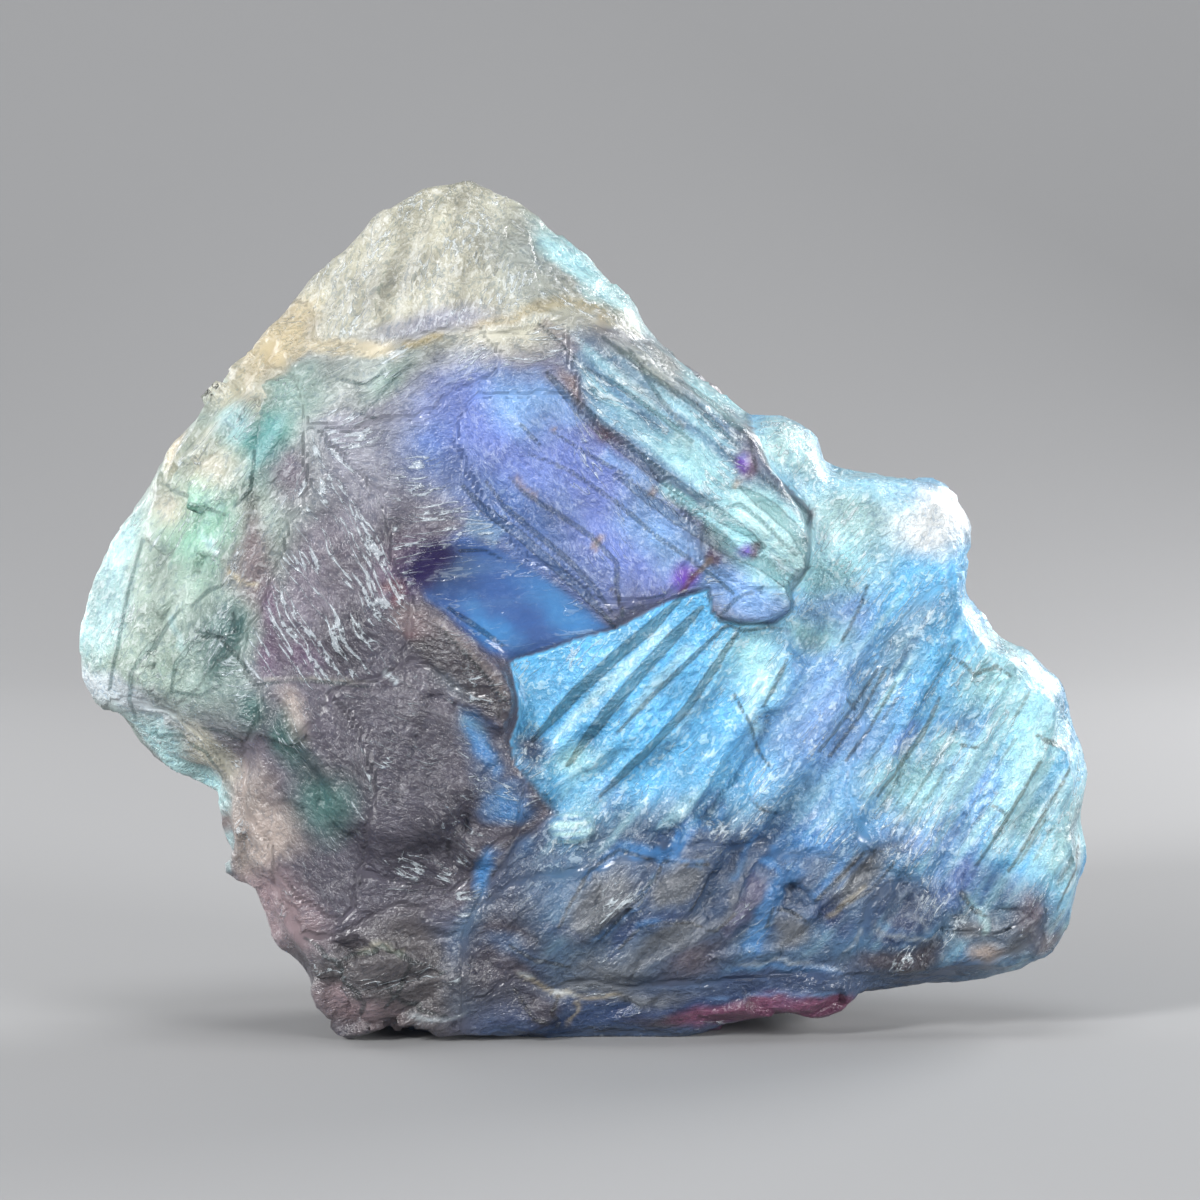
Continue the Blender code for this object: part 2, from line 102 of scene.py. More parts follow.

# Growth ledges, whose step walls get painted shade, in mm: the width of the wall, then the points along it.
HEAD_LEDGES = [
    (0.9, [(-2.6, 47.0), (-0.6, 44.8), (1.3, 43.1), (4.8, 40.3), (8.2, 38.0), (11.2, 36.1), (12.2, 35.2)]),
    (0.4, [(5.6, 38.7), (8.2, 36.8), (10.4, 35.2)]),
    (0.7, [(2.0, 40.1), (6.0, 37.3), (9.8, 34.9), (12.2, 33.9), (13.8, 32.6), (14.3, 31.2)]),
    (0.25, [(-3.9, 41.5), (-1.2, 40.4), (2.4, 38.0), (5.0, 35.8), (7.2, 34.3), (9.0, 33.0), (10.2, 31.9)]),
    (0.2, [(-2.2, 43.0), (0.6, 41.2), (3.2, 39.9)]),
    (0.3, [(-5.2, 39.9), (-4.2, 38.8), (-1.6, 37.2), (0.6, 35.7), (2.2, 34.0), (2.2, 32.2), (2.6, 30.4)]),
    (0.35, [(-6.8, 39.6), (-5.6, 37.9), (-3.2, 35.9), (-1.0, 34.1), (0.8, 32.2), (1.9, 30.6)]),
    (0.6, [(-8.5, 39.4), (-7.0, 37.7), (-4.6, 36.0), (-2.2, 33.9), (0.0, 31.9), (2.0, 29.6)]),
    (0.22, [(-8.6, 34.8), (-7.0, 34.9), (-5.8, 34.3)]),
    (0.3, [(-9.4, 30.9), (-7.6, 29.7), (-5.6, 28.3)]),
    (0.2, [(-4.4, 43.5), (-3.6, 42.6), (-3.1, 42.1)]),
    (0.3, [(0.1, 47.3), (2.4, 46.0), (5.0, 44.2), (7.4, 42.3)]),
    (0.25, [(3.0, 48.6), (4.4, 46.4), (5.2, 45.3), (6.8, 43.2)]),
    (0.35, [(1.2, 49.4), (4.4, 47.0), (8.0, 44.5), (10.6, 42.0)]),
    (0.3, [(6.6, 46.4), (8.8, 44.9), (10.9, 43.0)]),
    # round the tip
    (0.2, [(11.3, 42.8), (11.8, 40.3), (13.0, 39.2), (14.4, 38.3), (15.6, 37.2), (15.3, 36.5)]),
    (0.8, [(10.7, 39.2), (12.6, 37.9), (14.4, 36.2), (15.2, 34.8), (15.3, 33.4)]),
    (0.24, [(9.7, 37.8), (10.6, 38.1), (12.2, 36.9), (13.4, 35.6), (14.4, 34.7)]),
    (0.25, [(12.0, 34.8), (13.4, 33.6), (14.9, 32.7)]),
    (0.22, [(15.3, 33.4), (14.9, 32.7), (14.2, 31.9), (14.3, 30.6), (13.0, 29.7), (10.8, 29.8), (9.2, 30.1)]),
    (0.15, [(9.2, 30.2), (10.2, 31.4), (10.8, 31.9), (11.8, 32.2), (12.2, 32.4)]),
    (0.2, [(6.4, 31.7), (8.5, 32.2), (8.8, 30.5)]),
    # on the left facet, down the middle and round the flap
    (0.22, [(-29.4, 39.0), (-27.0, 37.9), (-25.0, 37.2)]),
    (0.3, [(-23.1, 41.8), (-23.2, 39.2), (-24.3, 37.9)]),
    (0.2, [(-31.2, 35.2), (-32.2, 31.2), (-32.8, 27.8), (-33.6, 24.6)]),
    (0.3, [(-32.0, 22.4), (-32.1, 24.0), (-31.0, 27.2), (-29.4, 29.4), (-28.2, 30.6)]),
    (0.3, [(-28.9, 24.6), (-28.6, 26.6), (-27.2, 28.4), (-25.8, 29.0), (-24.2, 27.8), (-23.0, 26.4)]),
    (0.2, [(-28.6, 24.8), (-26.8, 24.6), (-25.2, 25.4)]),
    (0.25, [(-26.6, 22.3), (-25.0, 22.2), (-23.8, 21.6)]),
    (0.25, [(-27.4, 30.8), (-26.0, 32.0), (-24.8, 32.4)]),
    (0.2, [(-31.4, 21.2), (-28.6, 21.4), (-26.6, 20.4), (-25.6, 18.4)]),
    (0.1, [(-22.8, 25.6), (-20.0, 25.9), (-17.0, 25.7), (-14.8, 25.4)]),
    (0.2, [(-9.6, 29.3), (-7.4, 27.0), (-5.4, 24.6)]),
    (0.25, [(-14.4, 43.9), (-15.4, 44.2), (-14.4, 45.2), (-13.0, 46.8), (-12.0, 47.6)]),
    (0.2, [(-16.6, 46.4), (-15.0, 46.2), (-13.8, 47.2)]),
    (0.2, [(-3.2, 50.4), (-1.8, 49.2), (-0.6, 48.0)]),
    # on the foot
    (0.3, [(-19.6, 7.6), (-17.0, 6.2), (-15.4, 3.6), (-15.8, 1.8)]),
    (0.3, [(-17.0, 6.2), (-14.0, 7.4), (-12.0, 6.2), (-9.6, 5.4)]),
    (0.25, [(-14.0, 4.8), (-12.6, 3.0), (-9.6, 2.0)]),
    (0.25, [(-12.0, 6.2), (-12.8, 4.4), (-14.0, 2.8)]),
]
SIDE_LEDGES = [
    (0.8, [(6.7, 31.7), (4.6, 29.6), (2.0, 27.4), (-0.6, 25.0), (-3.6, 21.6)]),
    (0.8, [(8.1, 31.0), (6.0, 28.8), (3.8, 26.4), (1.4, 23.5), (-1.2, 19.8)]),
    (0.3, [(9.8, 29.7), (7.2, 27.2), (4.4, 24.6), (2.2, 22.2)]),
    (0.55, [(10.6, 29.2), (9.2, 27.1), (7.0, 23.8), (4.0, 20.6), (1.0, 17.6)]),
    (0.15, [(9.3, 30.0), (11.0, 29.2), (12.4, 29.4), (14.2, 29.2)]),
    (0.2, [(14.0, 27.2), (13.2, 25.6), (12.3, 23.9)]),
    (0.15, [(10.3, 24.8), (11.4, 22.8), (12.0, 20.8), (12.8, 19.8)]),
    (0.15, [(11.4, 17.6), (12.2, 16.8), (13.4, 16.3)]),
    (0.2, [(17.8, 28.3), (19.0, 30.6), (19.6, 32.2)]),
    (0.3, [(24.8, 24.4), (23.6, 21.8), (22.2, 19.6), (20.5, 17.4)]),
    (0.2, [(18.2, 24.4), (18.8, 23.6)]),
    (0.2, [(21.0, 26.6), (19.2, 23.2), (17.0, 20.2)]),
    (0.15, [(21.6, 25.4), (19.8, 22.2), (18.2, 20.0)]),
    (0.15, [(20.4, 26.4), (18.4, 23.4), (16.2, 20.8)]),
    (0.25, [(25.4, 27.3), (26.4, 26.7), (27.2, 25.9), (28.8, 26.5), (29.9, 25.8)]),
    (0.15, [(26.3, 21.0), (27.4, 20.8)]),
    (0.3, [(31.6, 21.6), (33.2, 20.8), (34.6, 20.2)]),
    (0.2, [(31.8, 19.8), (30.2, 17.0), (28.8, 14.6), (27.4, 12.4)]),
    (0.15, [(34.5, 19.8), (33.0, 17.4), (31.2, 14.4), (29.8, 12.0)]),
    (0.2, [(35.5, 14.2), (34.4, 11.8), (33.2, 9.2)]),
    (0.25, [(28.4, 16.8), (29.4, 16.2)]),
    (0.3, [(26.4, 10.6), (27.4, 9.2), (28.2, 8.8)]),
    # round the flats of the lower slope
    (0.15, [(-1.8, 8.6), (-1.2, 10.0), (0.3, 12.5), (2.3, 14.0), (4.8, 13.3)]),
    (0.15, [(3.6, 10.2), (4.8, 11.8), (5.4, 13.2), (8.6, 13.0)]),
    (0.15, [(2.4, 7.0), (3.8, 8.6), (5.2, 9.0), (7.4, 8.8), (9.0, 8.2), (10.4, 9.4)]),
    (0.15, [(12.6, 8.4), (13.0, 9.8), (14.2, 9.5), (15.6, 8.7)]),
    (0.15, [(16.0, 10.2), (17.8, 12.0), (19.5, 13.6), (20.8, 13.6)]),
    (0.15, [(1.0, 7.5), (3.0, 9.8), (4.6, 12.0)]),
    (0.15, [(7.4, 9.6), (8.4, 11.2), (9.2, 12.4)]),
    (0.15, [(17.6, 9.6), (20.0, 11.0), (21.6, 12.8)]),
    # round the dark facets low on the left
    (0.25, [(-5.2, 7.2), (-3.4, 6.2), (-1.0, 5.6)]),
    (0.25, [(-5.0, 4.0), (-3.6, 1.8), (-1.6, 1.0)]),
    (0.25, [(-1.9, 3.4), (-2.4, 2.2), (-1.6, 1.0)]),
]

# Drawn lines and stains, some of them painted backlight and painted highlights, in mm: colour, width, strength, then
# the points along them.
HEAD_STROKES = [
    ("lilac", 0.9, 0.6, [(1.0, 41.7), (3.6, 40.0), (5.4, 38.8)]),
    ("ice", 0.6, 0.8, [(5.0, 39.5), (8.0, 37.5), (10.8, 35.6)]),
    ("painted_glow", 1.0, 0.8, [(10.2, 37.8), (12.4, 36.4), (14.6, 34.3)]),
    ("painted_glow", 0.7, 0.8, [(12.6, 35.2), (13.8, 34.2), (14.9, 33.2)]),
    ("ice", 0.5, 0.6, [(12.2, 38.8), (14.0, 37.6), (15.2, 36.2)]),
    ("painted_glow", 0.8, 0.3, [(5.6, 42.6), (8.4, 40.8), (10.0, 39.4)]),
    ("teal", 0.9, 0.7, [(1.2, 48.6), (4.4, 46.2), (7.6, 43.8)]),
    ("lilac", 1.0, 0.4, [(-2.8, 45.6), (-1.4, 44.2), (-0.4, 43.4)]),
    ("periwinkle", 1.2, 0.6, [(-7.4, 38.2), (-4.0, 35.8), (-0.8, 33.0)]),
    ("teal", 1.4, 0.5, [(-8.2, 37.0), (-5.6, 35.6)]),
    ("gold", 0.6, 0.8, [(-12.8, 48.8), (-11.2, 49.1), (-9.6, 49.7)]),
    ("honey", 1.0, 0.6, [(-22.4, 47.6), (-19.6, 48.9), (-16.0, 48.7), (-12.6, 48.5)]),
    ("gold", 0.8, 0.6, [(-8.4, 50.1), (-5.0, 50.8), (-2.4, 51.9), (0.6, 51.7), (4.3, 50.0)]),
    ("gold", 0.5, 0.5, [(0.6, 50.9), (2.6, 50.2), (4.2, 49.4)]),
    ("rose_brown", 1.1, 0.5, [(-3.2, 50.6), (-1.4, 49.1), (-0.5, 48.1)]),
    ("painted_glow", 0.5, 0.6, [(-1.2, 54.4), (0.2, 52.4), (1.4, 51.6)]),
    ("oxblood", 0.4, 0.9, [(6.4, 31.9), (7.2, 33.0), (8.0, 33.9)]),
    ("amber", 0.4, 0.8, [(7.7, 33.4), (8.6, 34.5)]),
    ("oxblood", 0.5, 0.8, [(11.4, 34.2), (11.7, 35.2), (12.2, 35.6)]),
    ("amber", 0.4, 0.7, [(10.2, 39.0), (10.6, 39.9)]),
    ("oxblood", 0.5, 0.5, [(1.6, 42.4), (1.2, 43.4), (0.6, 44.0)]),
    ("amber", 0.5, 0.7, [(4.4, 38.5), (5.0, 39.3)]),
    ("amber", 0.5, 0.7, [(0.7, 34.9), (1.1, 35.9)]),
    ("amber", 0.3, 0.7, [(-2.4, 43.2), (-2.0, 42.8)]),
    ("amber", 0.4, 0.5, [(-4.8, 39.9), (-4.2, 39.1), (-3.4, 38.4)]),
    ("umber", 0.3, 0.7, [(1.9, 32.4), (2.5, 30.8)]),
    ("moss", 0.5, 0.5, [(5.8, 43.2), (7.4, 42.0)]),
    ("painted_highlight", 0.2, 0.7, [(5.3, 45.4), (6.2, 44.0), (7.0, 43.1)]),
    ("painted_highlight", 0.2, 0.6, [(5.4, 38.8), (6.8, 37.8)]),
    ("painted_highlight", 0.2, 0.8, [(7.8, 38.0), (8.6, 37.4), (9.9, 36.6)]),
    ("painted_highlight", 0.15, 0.8, [(9.0, 37.7), (10.2, 37.0), (11.6, 36.2)]),
    ("painted_highlight", 0.2, 0.7, [(12.4, 34.9), (13.6, 33.8), (14.8, 33.0)]),
    ("painted_highlight", 0.16, 1.0, [(-13.9, 26.5), (-13.1, 25.7)]),
    ("honey", 0.25, 0.8, [(-24.6, 33.5), (-23.8, 32.6), (-22.4, 32.5)]),
    ("cream", 0.2, 0.3, [(-22.6, 25.9), (-19.0, 26.1), (-14.8, 25.7)]),
    ("blush", 0.3, 0.35, [(-10.6, 30.6), (-9.4, 29.5), (-7.2, 27.3), (-5.0, 24.9)]),
    ("painted_glow", 0.5, 0.5, [(-29.0, 30.4), (-28.4, 28.4), (-28.0, 27.6)]),
    ("painted_glow", 0.3, 0.6, [(-26.6, 36.0), (-25.4, 34.6)]),
    ("cream", 0.4, 0.5, [(-16.4, 6.4), (-14.2, 7.6), (-12.4, 6.6)]),
    ("painted_highlight", 0.2, 0.4, [(-12.6, 2.2), (-10.0, 1.8), (-8.0, 2.4)]),
]
SIDE_STROKES = [
    # The first seven rows draw teal stripes with painted highlight stripes between them down the right rim.
    ("teal", 0.7, 0.5, [(34.9, 18.9), (33.4, 16.2), (31.6, 13.0)]),
    ("teal", 0.6, 0.5, [(35.6, 16.2), (34.2, 13.4), (33.0, 10.8)]),
    ("teal", 0.6, 0.4, [(32.8, 19.4), (30.8, 16.0), (29.0, 13.0)]),
    ("teal", 0.5, 0.4, [(35.6, 12.6), (34.6, 10.4), (33.6, 8.0)]),
    ("painted_highlight", 0.7, 0.6, [(34.0, 19.0), (32.2, 15.8), (30.4, 12.8)]),
    ("painted_highlight", 0.6, 0.6, [(35.5, 13.9), (34.6, 12.0), (33.6, 10.0)]),
    ("painted_highlight", 0.5, 0.4, [(31.8, 18.8), (29.8, 15.2), (28.2, 12.6)]),
    ("teal", 1.8, 0.6, [(23.6, 31.4), (22.2, 28.6), (20.4, 25.6), (18.6, 23.0)]),
    ("painted_glow", 1.0, 0.5, [(12.6, 26.6), (11.4, 24.0), (12.0, 21.6)]),
    ("painted_glow", 0.7, 0.6, [(6.0, 29.9), (3.2, 27.2), (0.2, 24.2), (-2.4, 21.4)]),
    ("painted_glow", 0.7, 0.5, [(7.6, 28.6), (5.0, 25.8), (2.8, 23.2)]),
    ("lilac", 2.0, 0.5, [(2.6, 18.4), (0.6, 16.9)]),
    ("teal", 0.8, 0.5, [(8.6, 25.0), (6.4, 22.2), (4.0, 19.4)]),
    ("channel", 0.7, 0.7, [(1.9, 14.6), (3.4, 13.9), (5.0, 13.7), (5.8, 13.2)]),
    ("channel", 0.9, 0.8, [(5.8, 13.0), (6.4, 14.6), (7.4, 15.6), (8.2, 16.8), (9.2, 18.4)]),
    ("channel", 0.3, 0.7, [(6.4, 13.4), (8.4, 12.9)]),
    ("channel", 0.4, 0.5, [(5.0, 12.6), (4.0, 11.0), (3.0, 9.6), (1.8, 8.3), (0.4, 7.4)]),
    ("channel", 0.5, 0.5, [(2.2, 14.2), (1.2, 13.0), (0.0, 11.8)]),
    ("channel", 0.5, 0.5, [(8.0, 15.4), (9.2, 16.0), (9.8, 17.4)]),
    ("navy", 0.7, 0.6, [(2.2, 7.0), (3.2, 8.6), (5.2, 9.4), (7.8, 9.2)]),
    ("channel", 0.5, 0.5, [(3.2, 8.4), (4.2, 8.9), (5.4, 9.2)]),
    ("navy", 0.8, 0.6, [(1.6, 6.0), (2.4, 7.6), (3.6, 8.8)]),
    ("navy", 0.6, 0.4, [(-4.0, 8.4), (-2.0, 8.6), (0.4, 7.6)]),
    ("channel", 0.5, 0.5, [(12.4, 16.2), (11.7, 14.6), (10.8, 12.8), (10.2, 11.4)]),
    ("channel", 0.4, 0.4, [(14.5, 16.6), (13.8, 14.8), (13.0, 13.3)]),
    ("channel", 1.2, 0.7, [(15.4, 12.9), (14.0, 12.2), (13.1, 10.8), (12.4, 9.2), (11.8, 7.6), (11.2, 6.2)]),
    ("channel", 0.6, 0.6, [(12.4, 13.4), (13.6, 12.4)]),
    ("channel", 0.6, 0.6, [(19.4, 15.0), (18.2, 13.4), (17.0, 11.8), (15.5, 10.3)]),
    ("lilac", 0.3, 0.4, [(20.6, 15.0), (18.8, 12.6), (17.2, 10.6)]),
    ("plum", 1.1, 0.4, [(12.4, 12.2), (11.8, 10.8), (10.6, 9.2), (9.4, 7.8)]),
    ("ash", 0.8, 0.6, [(10.8, 11.8), (10.2, 9.6), (8.8, 8.4), (6.6, 7.2), (4.6, 6.4), (2.4, 5.2)]),
    ("ash", 0.5, 0.6, [(21.0, 12.8), (19.0, 10.8), (17.4, 9.2)]),
    ("honey", 0.3, 0.4, [(19.8, 11.4), (18.2, 10.0), (16.8, 8.8)]),
    ("honey", 0.3, 0.5, [(-4.8, 5.3), (-3.4, 4.4), (-2.0, 3.7), (0.0, 3.2), (2.9, 3.3)]),
    ("painted_highlight", 0.2, 0.5, [(-4.6, 5.3), (-3.6, 4.6)]),
    ("painted_highlight", 0.2, 0.5, [(-2.4, 4.0), (-1.2, 3.4), (-0.2, 3.2)]),
    ("honey", 0.3, 0.5, [(-0.6, 3.0), (-0.4, 2.0), (-1.4, 1.1)]),
    ("painted_highlight", 0.2, 0.4, [(10.4, 5.6), (13.0, 5.9), (15.0, 5.7), (17.0, 5.1), (18.4, 5.2)]),
    ("channel", 0.4, 0.4, [(9.4, 5.2), (12.4, 5.6), (15.4, 5.3), (18.4, 4.9)]),
    ("navy", 0.9, 0.5, [(9.0, 4.2), (12.0, 4.9), (15.0, 4.6), (17.6, 4.5)]),
    ("lilac", 0.2, 0.4, [(8.0, 3.1), (12.0, 3.4), (16.0, 3.5), (18.8, 3.3)]),
    ("painted_highlight", 0.2, 0.5, [(20.1, 8.9), (20.8, 7.8), (22.4, 7.3), (25.0, 7.1)]),
    ("lilac", 0.5, 0.4, [(20.4, 8.9), (21.6, 7.9), (22.6, 7.6)]),
    ("painted_highlight", 0.2, 0.4, [(19.3, 8.2), (18.8, 7.2), (18.0, 6.3)]),
    ("painted_highlight", 0.2, 0.3, [(22.4, 9.2), (23.6, 8.6), (24.2, 7.8)]),
    ("lilac", 0.4, 0.4, [(24.6, 12.0), (26.2, 10.8)]),
    ("painted_glow", 0.4, 0.5, [(26.6, 10.4), (27.8, 9.2), (28.2, 8.0), (27.8, 7.4)]),
    ("cream", 0.2, 0.4, [(33.8, 5.4), (32.4, 4.2), (30.8, 3.9)]),
    ("painted_glow", 0.9, 0.5, [(35.0, 16.8), (33.8, 14.4), (32.6, 11.8)]),
    ("painted_glow", 0.6, 0.5, [(35.2, 9.8), (34.6, 8.0), (34.0, 6.6)]),
    ("violet", 0.9, 0.5, [(23.2, 22.8), (22.2, 21.2), (21.4, 20.2)]),
]

# Colour zones, later ones over earlier ones: colour, middle x and z, reach along and across, turn in degrees, and
# how much of the reach fades. All in mm.
# The pale cyan zones and strokes on thin parts are painted backlight, light shining through them.
HEAD_ZONES = [
    ("pale_mauve", -14.0, 42.0, 9.0, 6.4, 0, 0.8), ("smoke", -13.0, 17.0, 12.5, 12.5, 0, 0.6),
    ("sea_glass", -28.5, 34.0, 17.5, 7.5, 62, 0.5), ("cream", -10.5, 55.0, 15.5, 8.2, 0, 0.3),
    ("mist", -3.4, 54.6, 5.0, 3.0, -40, 0.9), ("mist", -15.4, 47.2, 6.5, 2.6, 10, 0.8),
    ("pale_mauve", -10.0, 50.2, 6.0, 1.2, 8, 0.9), ("honey", -22.4, 47.8, 5.0, 2.2, 42, 0.8),
    ("moss", -13.6, 46.6, 2.4, 1.2, 38, 0.8), ("moss", -19.4, 45.8, 3.0, 1.6, 20, 0.8),
    ("ice", 0.8, 54.0, 6.5, 1.8, -42, 0.8), ("painted_glow", 2.6, 52.1, 3.4, 0.9, -43, 0.8),
    ("smoke", -13.4, 35.6, 3.4, 4.4, 0, 0.9), ("periwinkle", -10.0, 42.0, 4.0, 4.2, 0, 0.9), ("violet", -6.4, 44.2, 5.4, 3.8, -10, 0.8),
    ("violet", -2.2, 40.0, 10.4, 6.0, -38, 0.8), ("periwinkle", -3.4, 36.0, 8.6, 3.2, -38, 0.8),
    ("violet", 3.6, 35.0, 5.4, 3.2, -38, 0.8), ("lilac", 6.2, 35.4, 5.4, 2.4, -44, 0.8), ("lilac", -4.2, 45.2, 3.8, 2.2, -20, 0.9), ("cobalt", -4.8, 37.2, 4.4, 1.8, -38, 0.9), ("cobalt", -8.6, 35.2, 1.6, 1.2, 0, 0.9), ("lilac", 11.2, 32.0, 4.2, 2.8, -30, 0.7), ("ice", 13.0, 33.0, 2.6, 1.4, -38, 0.9),
    ("teal", 5.6, 43.2, 10.0, 3.4, -37, 0.6), ("ice", 8.0, 40.9, 4.2, 1.4, -37, 0.9),
    ("ice", 12.4, 36.2, 5.2, 2.6, -42, 0.8), ("painted_glow", 12.8, 37.0, 3.4, 1.2, -42, 0.9), ("painted_glow", 13.8, 34.5, 2.2, 1.2, -40, 0.8),
    ("mist", 4.4, 47.4, 4.0, 1.6, -40, 0.9), ("ice", 8.2, 45.9, 4.6, 0.9, -42, 0.9),
    ("plum", 1.8, 42.4, 1.8, 0.9, -38, 0.9), ("rose_brown", -1.4, 45.6, 2.6, 0.8, -42, 0.8),
    ("moss", -26.4, 27.2, 4.8, 5.6, 0, 0.8), ("fern", -24.8, 29.2, 1.8, 4.6, 0, 0.9), ("sea_glass", -29.2, 27.6, 1.8, 3.4, -10, 0.9), ("fern", -23.3, 23.6, 1.3, 1.8, 0, 0.9), ("emerald", -22.4, 42.4, 2.3, 3.8, -14, 0.8),
    ("cream", -26.2, 40.6, 3.0, 2.1, 25, 0.8), ("mint", -27.2, 36.2, 3.2, 3.6, 0, 0.9),
    ("cream", -29.4, 37.4, 2.0, 2.6, 10, 0.9), ("cream", -22.8, 45.8, 3.4, 1.4, 42, 0.9), ("painted_glow", -24.2, 43.8, 1.6, 1.1, 42, 0.9), ("honey", -29.4, 41.4, 1.0, 2.2, -30, 0.9),
    ("painted_glow", -34.6, 30.0, 2.3, 8.0, -14, 0.8), ("sea_glass", -31.2, 28.2, 1.6, 5.0, -12, 0.9),
    ("painted_highlight", -34.2, 24.4, 2.8, 1.8, -10, 0.8), ("painted_highlight", -31.4, 23.6, 3.0, 1.8, -38, 0.7),
    ("painted_glow", -29.2, 19.4, 5.2, 1.8, -38, 0.6), ("blush", -24.6, 16.4, 2.2, 4.6, 10, 0.7),
    ("cream", -26.6, 20.6, 3.0, 1.6, -36, 0.8), ("painted_glow", -26.6, 17.6, 2.0, 1.6, -30, 0.9), ("blush", -23.0, 17.0, 1.7, 3.6, 14, 0.9), ("blush", -20.3, 23.2, 1.0, 2.2, 20, 0.9), ("blush", -21.6, 14.8, 2.2, 2.2, 0, 0.9),
    ("rose_brown", -23.0, 34.6, 1.8, 5.0, 8, 0.9), ("mauve", -20.6, 40.0, 2.2, 2.4, 0, 0.9), ("plum", -21.9, 30.6, 0.9, 3.4, 0, 0.9),
    ("plum", -21.4, 27.4, 1.1, 2.0, 0, 0.9), ("plum", -18.8, 27.2, 2.0, 1.2, 0, 0.9),
    ("smoke", -13.4, 28.8, 4.8, 3.6, 0, 0.6), ("fern", -18.0, 17.2, 2.8, 3.2, 8, 0.9),
    ("fern", -20.8, 21.4, 1.6, 2.6, 20, 0.9), ("blush", -22.8, 12.8, 1.8, 3.8, 14, 0.9),
    ("dusk", -21.4, 9.0, 3.0, 3.8, 0, 0.7), ("painted_glow", -26.0, 12.2, 1.3, 1.8, 0, 0.8), ("taupe", -13.0, 4.6, 9.5, 5.2, 0, 0.5),
    ("dusk", -16.2, 2.8, 3.2, 1.6, -10, 0.9), ("slate", -6.8, 20.2, 1.8, 3.6, 18, 0.9),
    ("channel", -7.0, 21.6, 0.9, 2.4, 22, 0.9), ("channel", -6.7, 12.4, 0.8, 1.9, -20, 0.8),
    ("channel", -5.2, 17.6, 2.2, 1.4, 0, 0.9), ("slate", -6.6, 7.4, 4.2, 2.4, -20, 0.8),
]
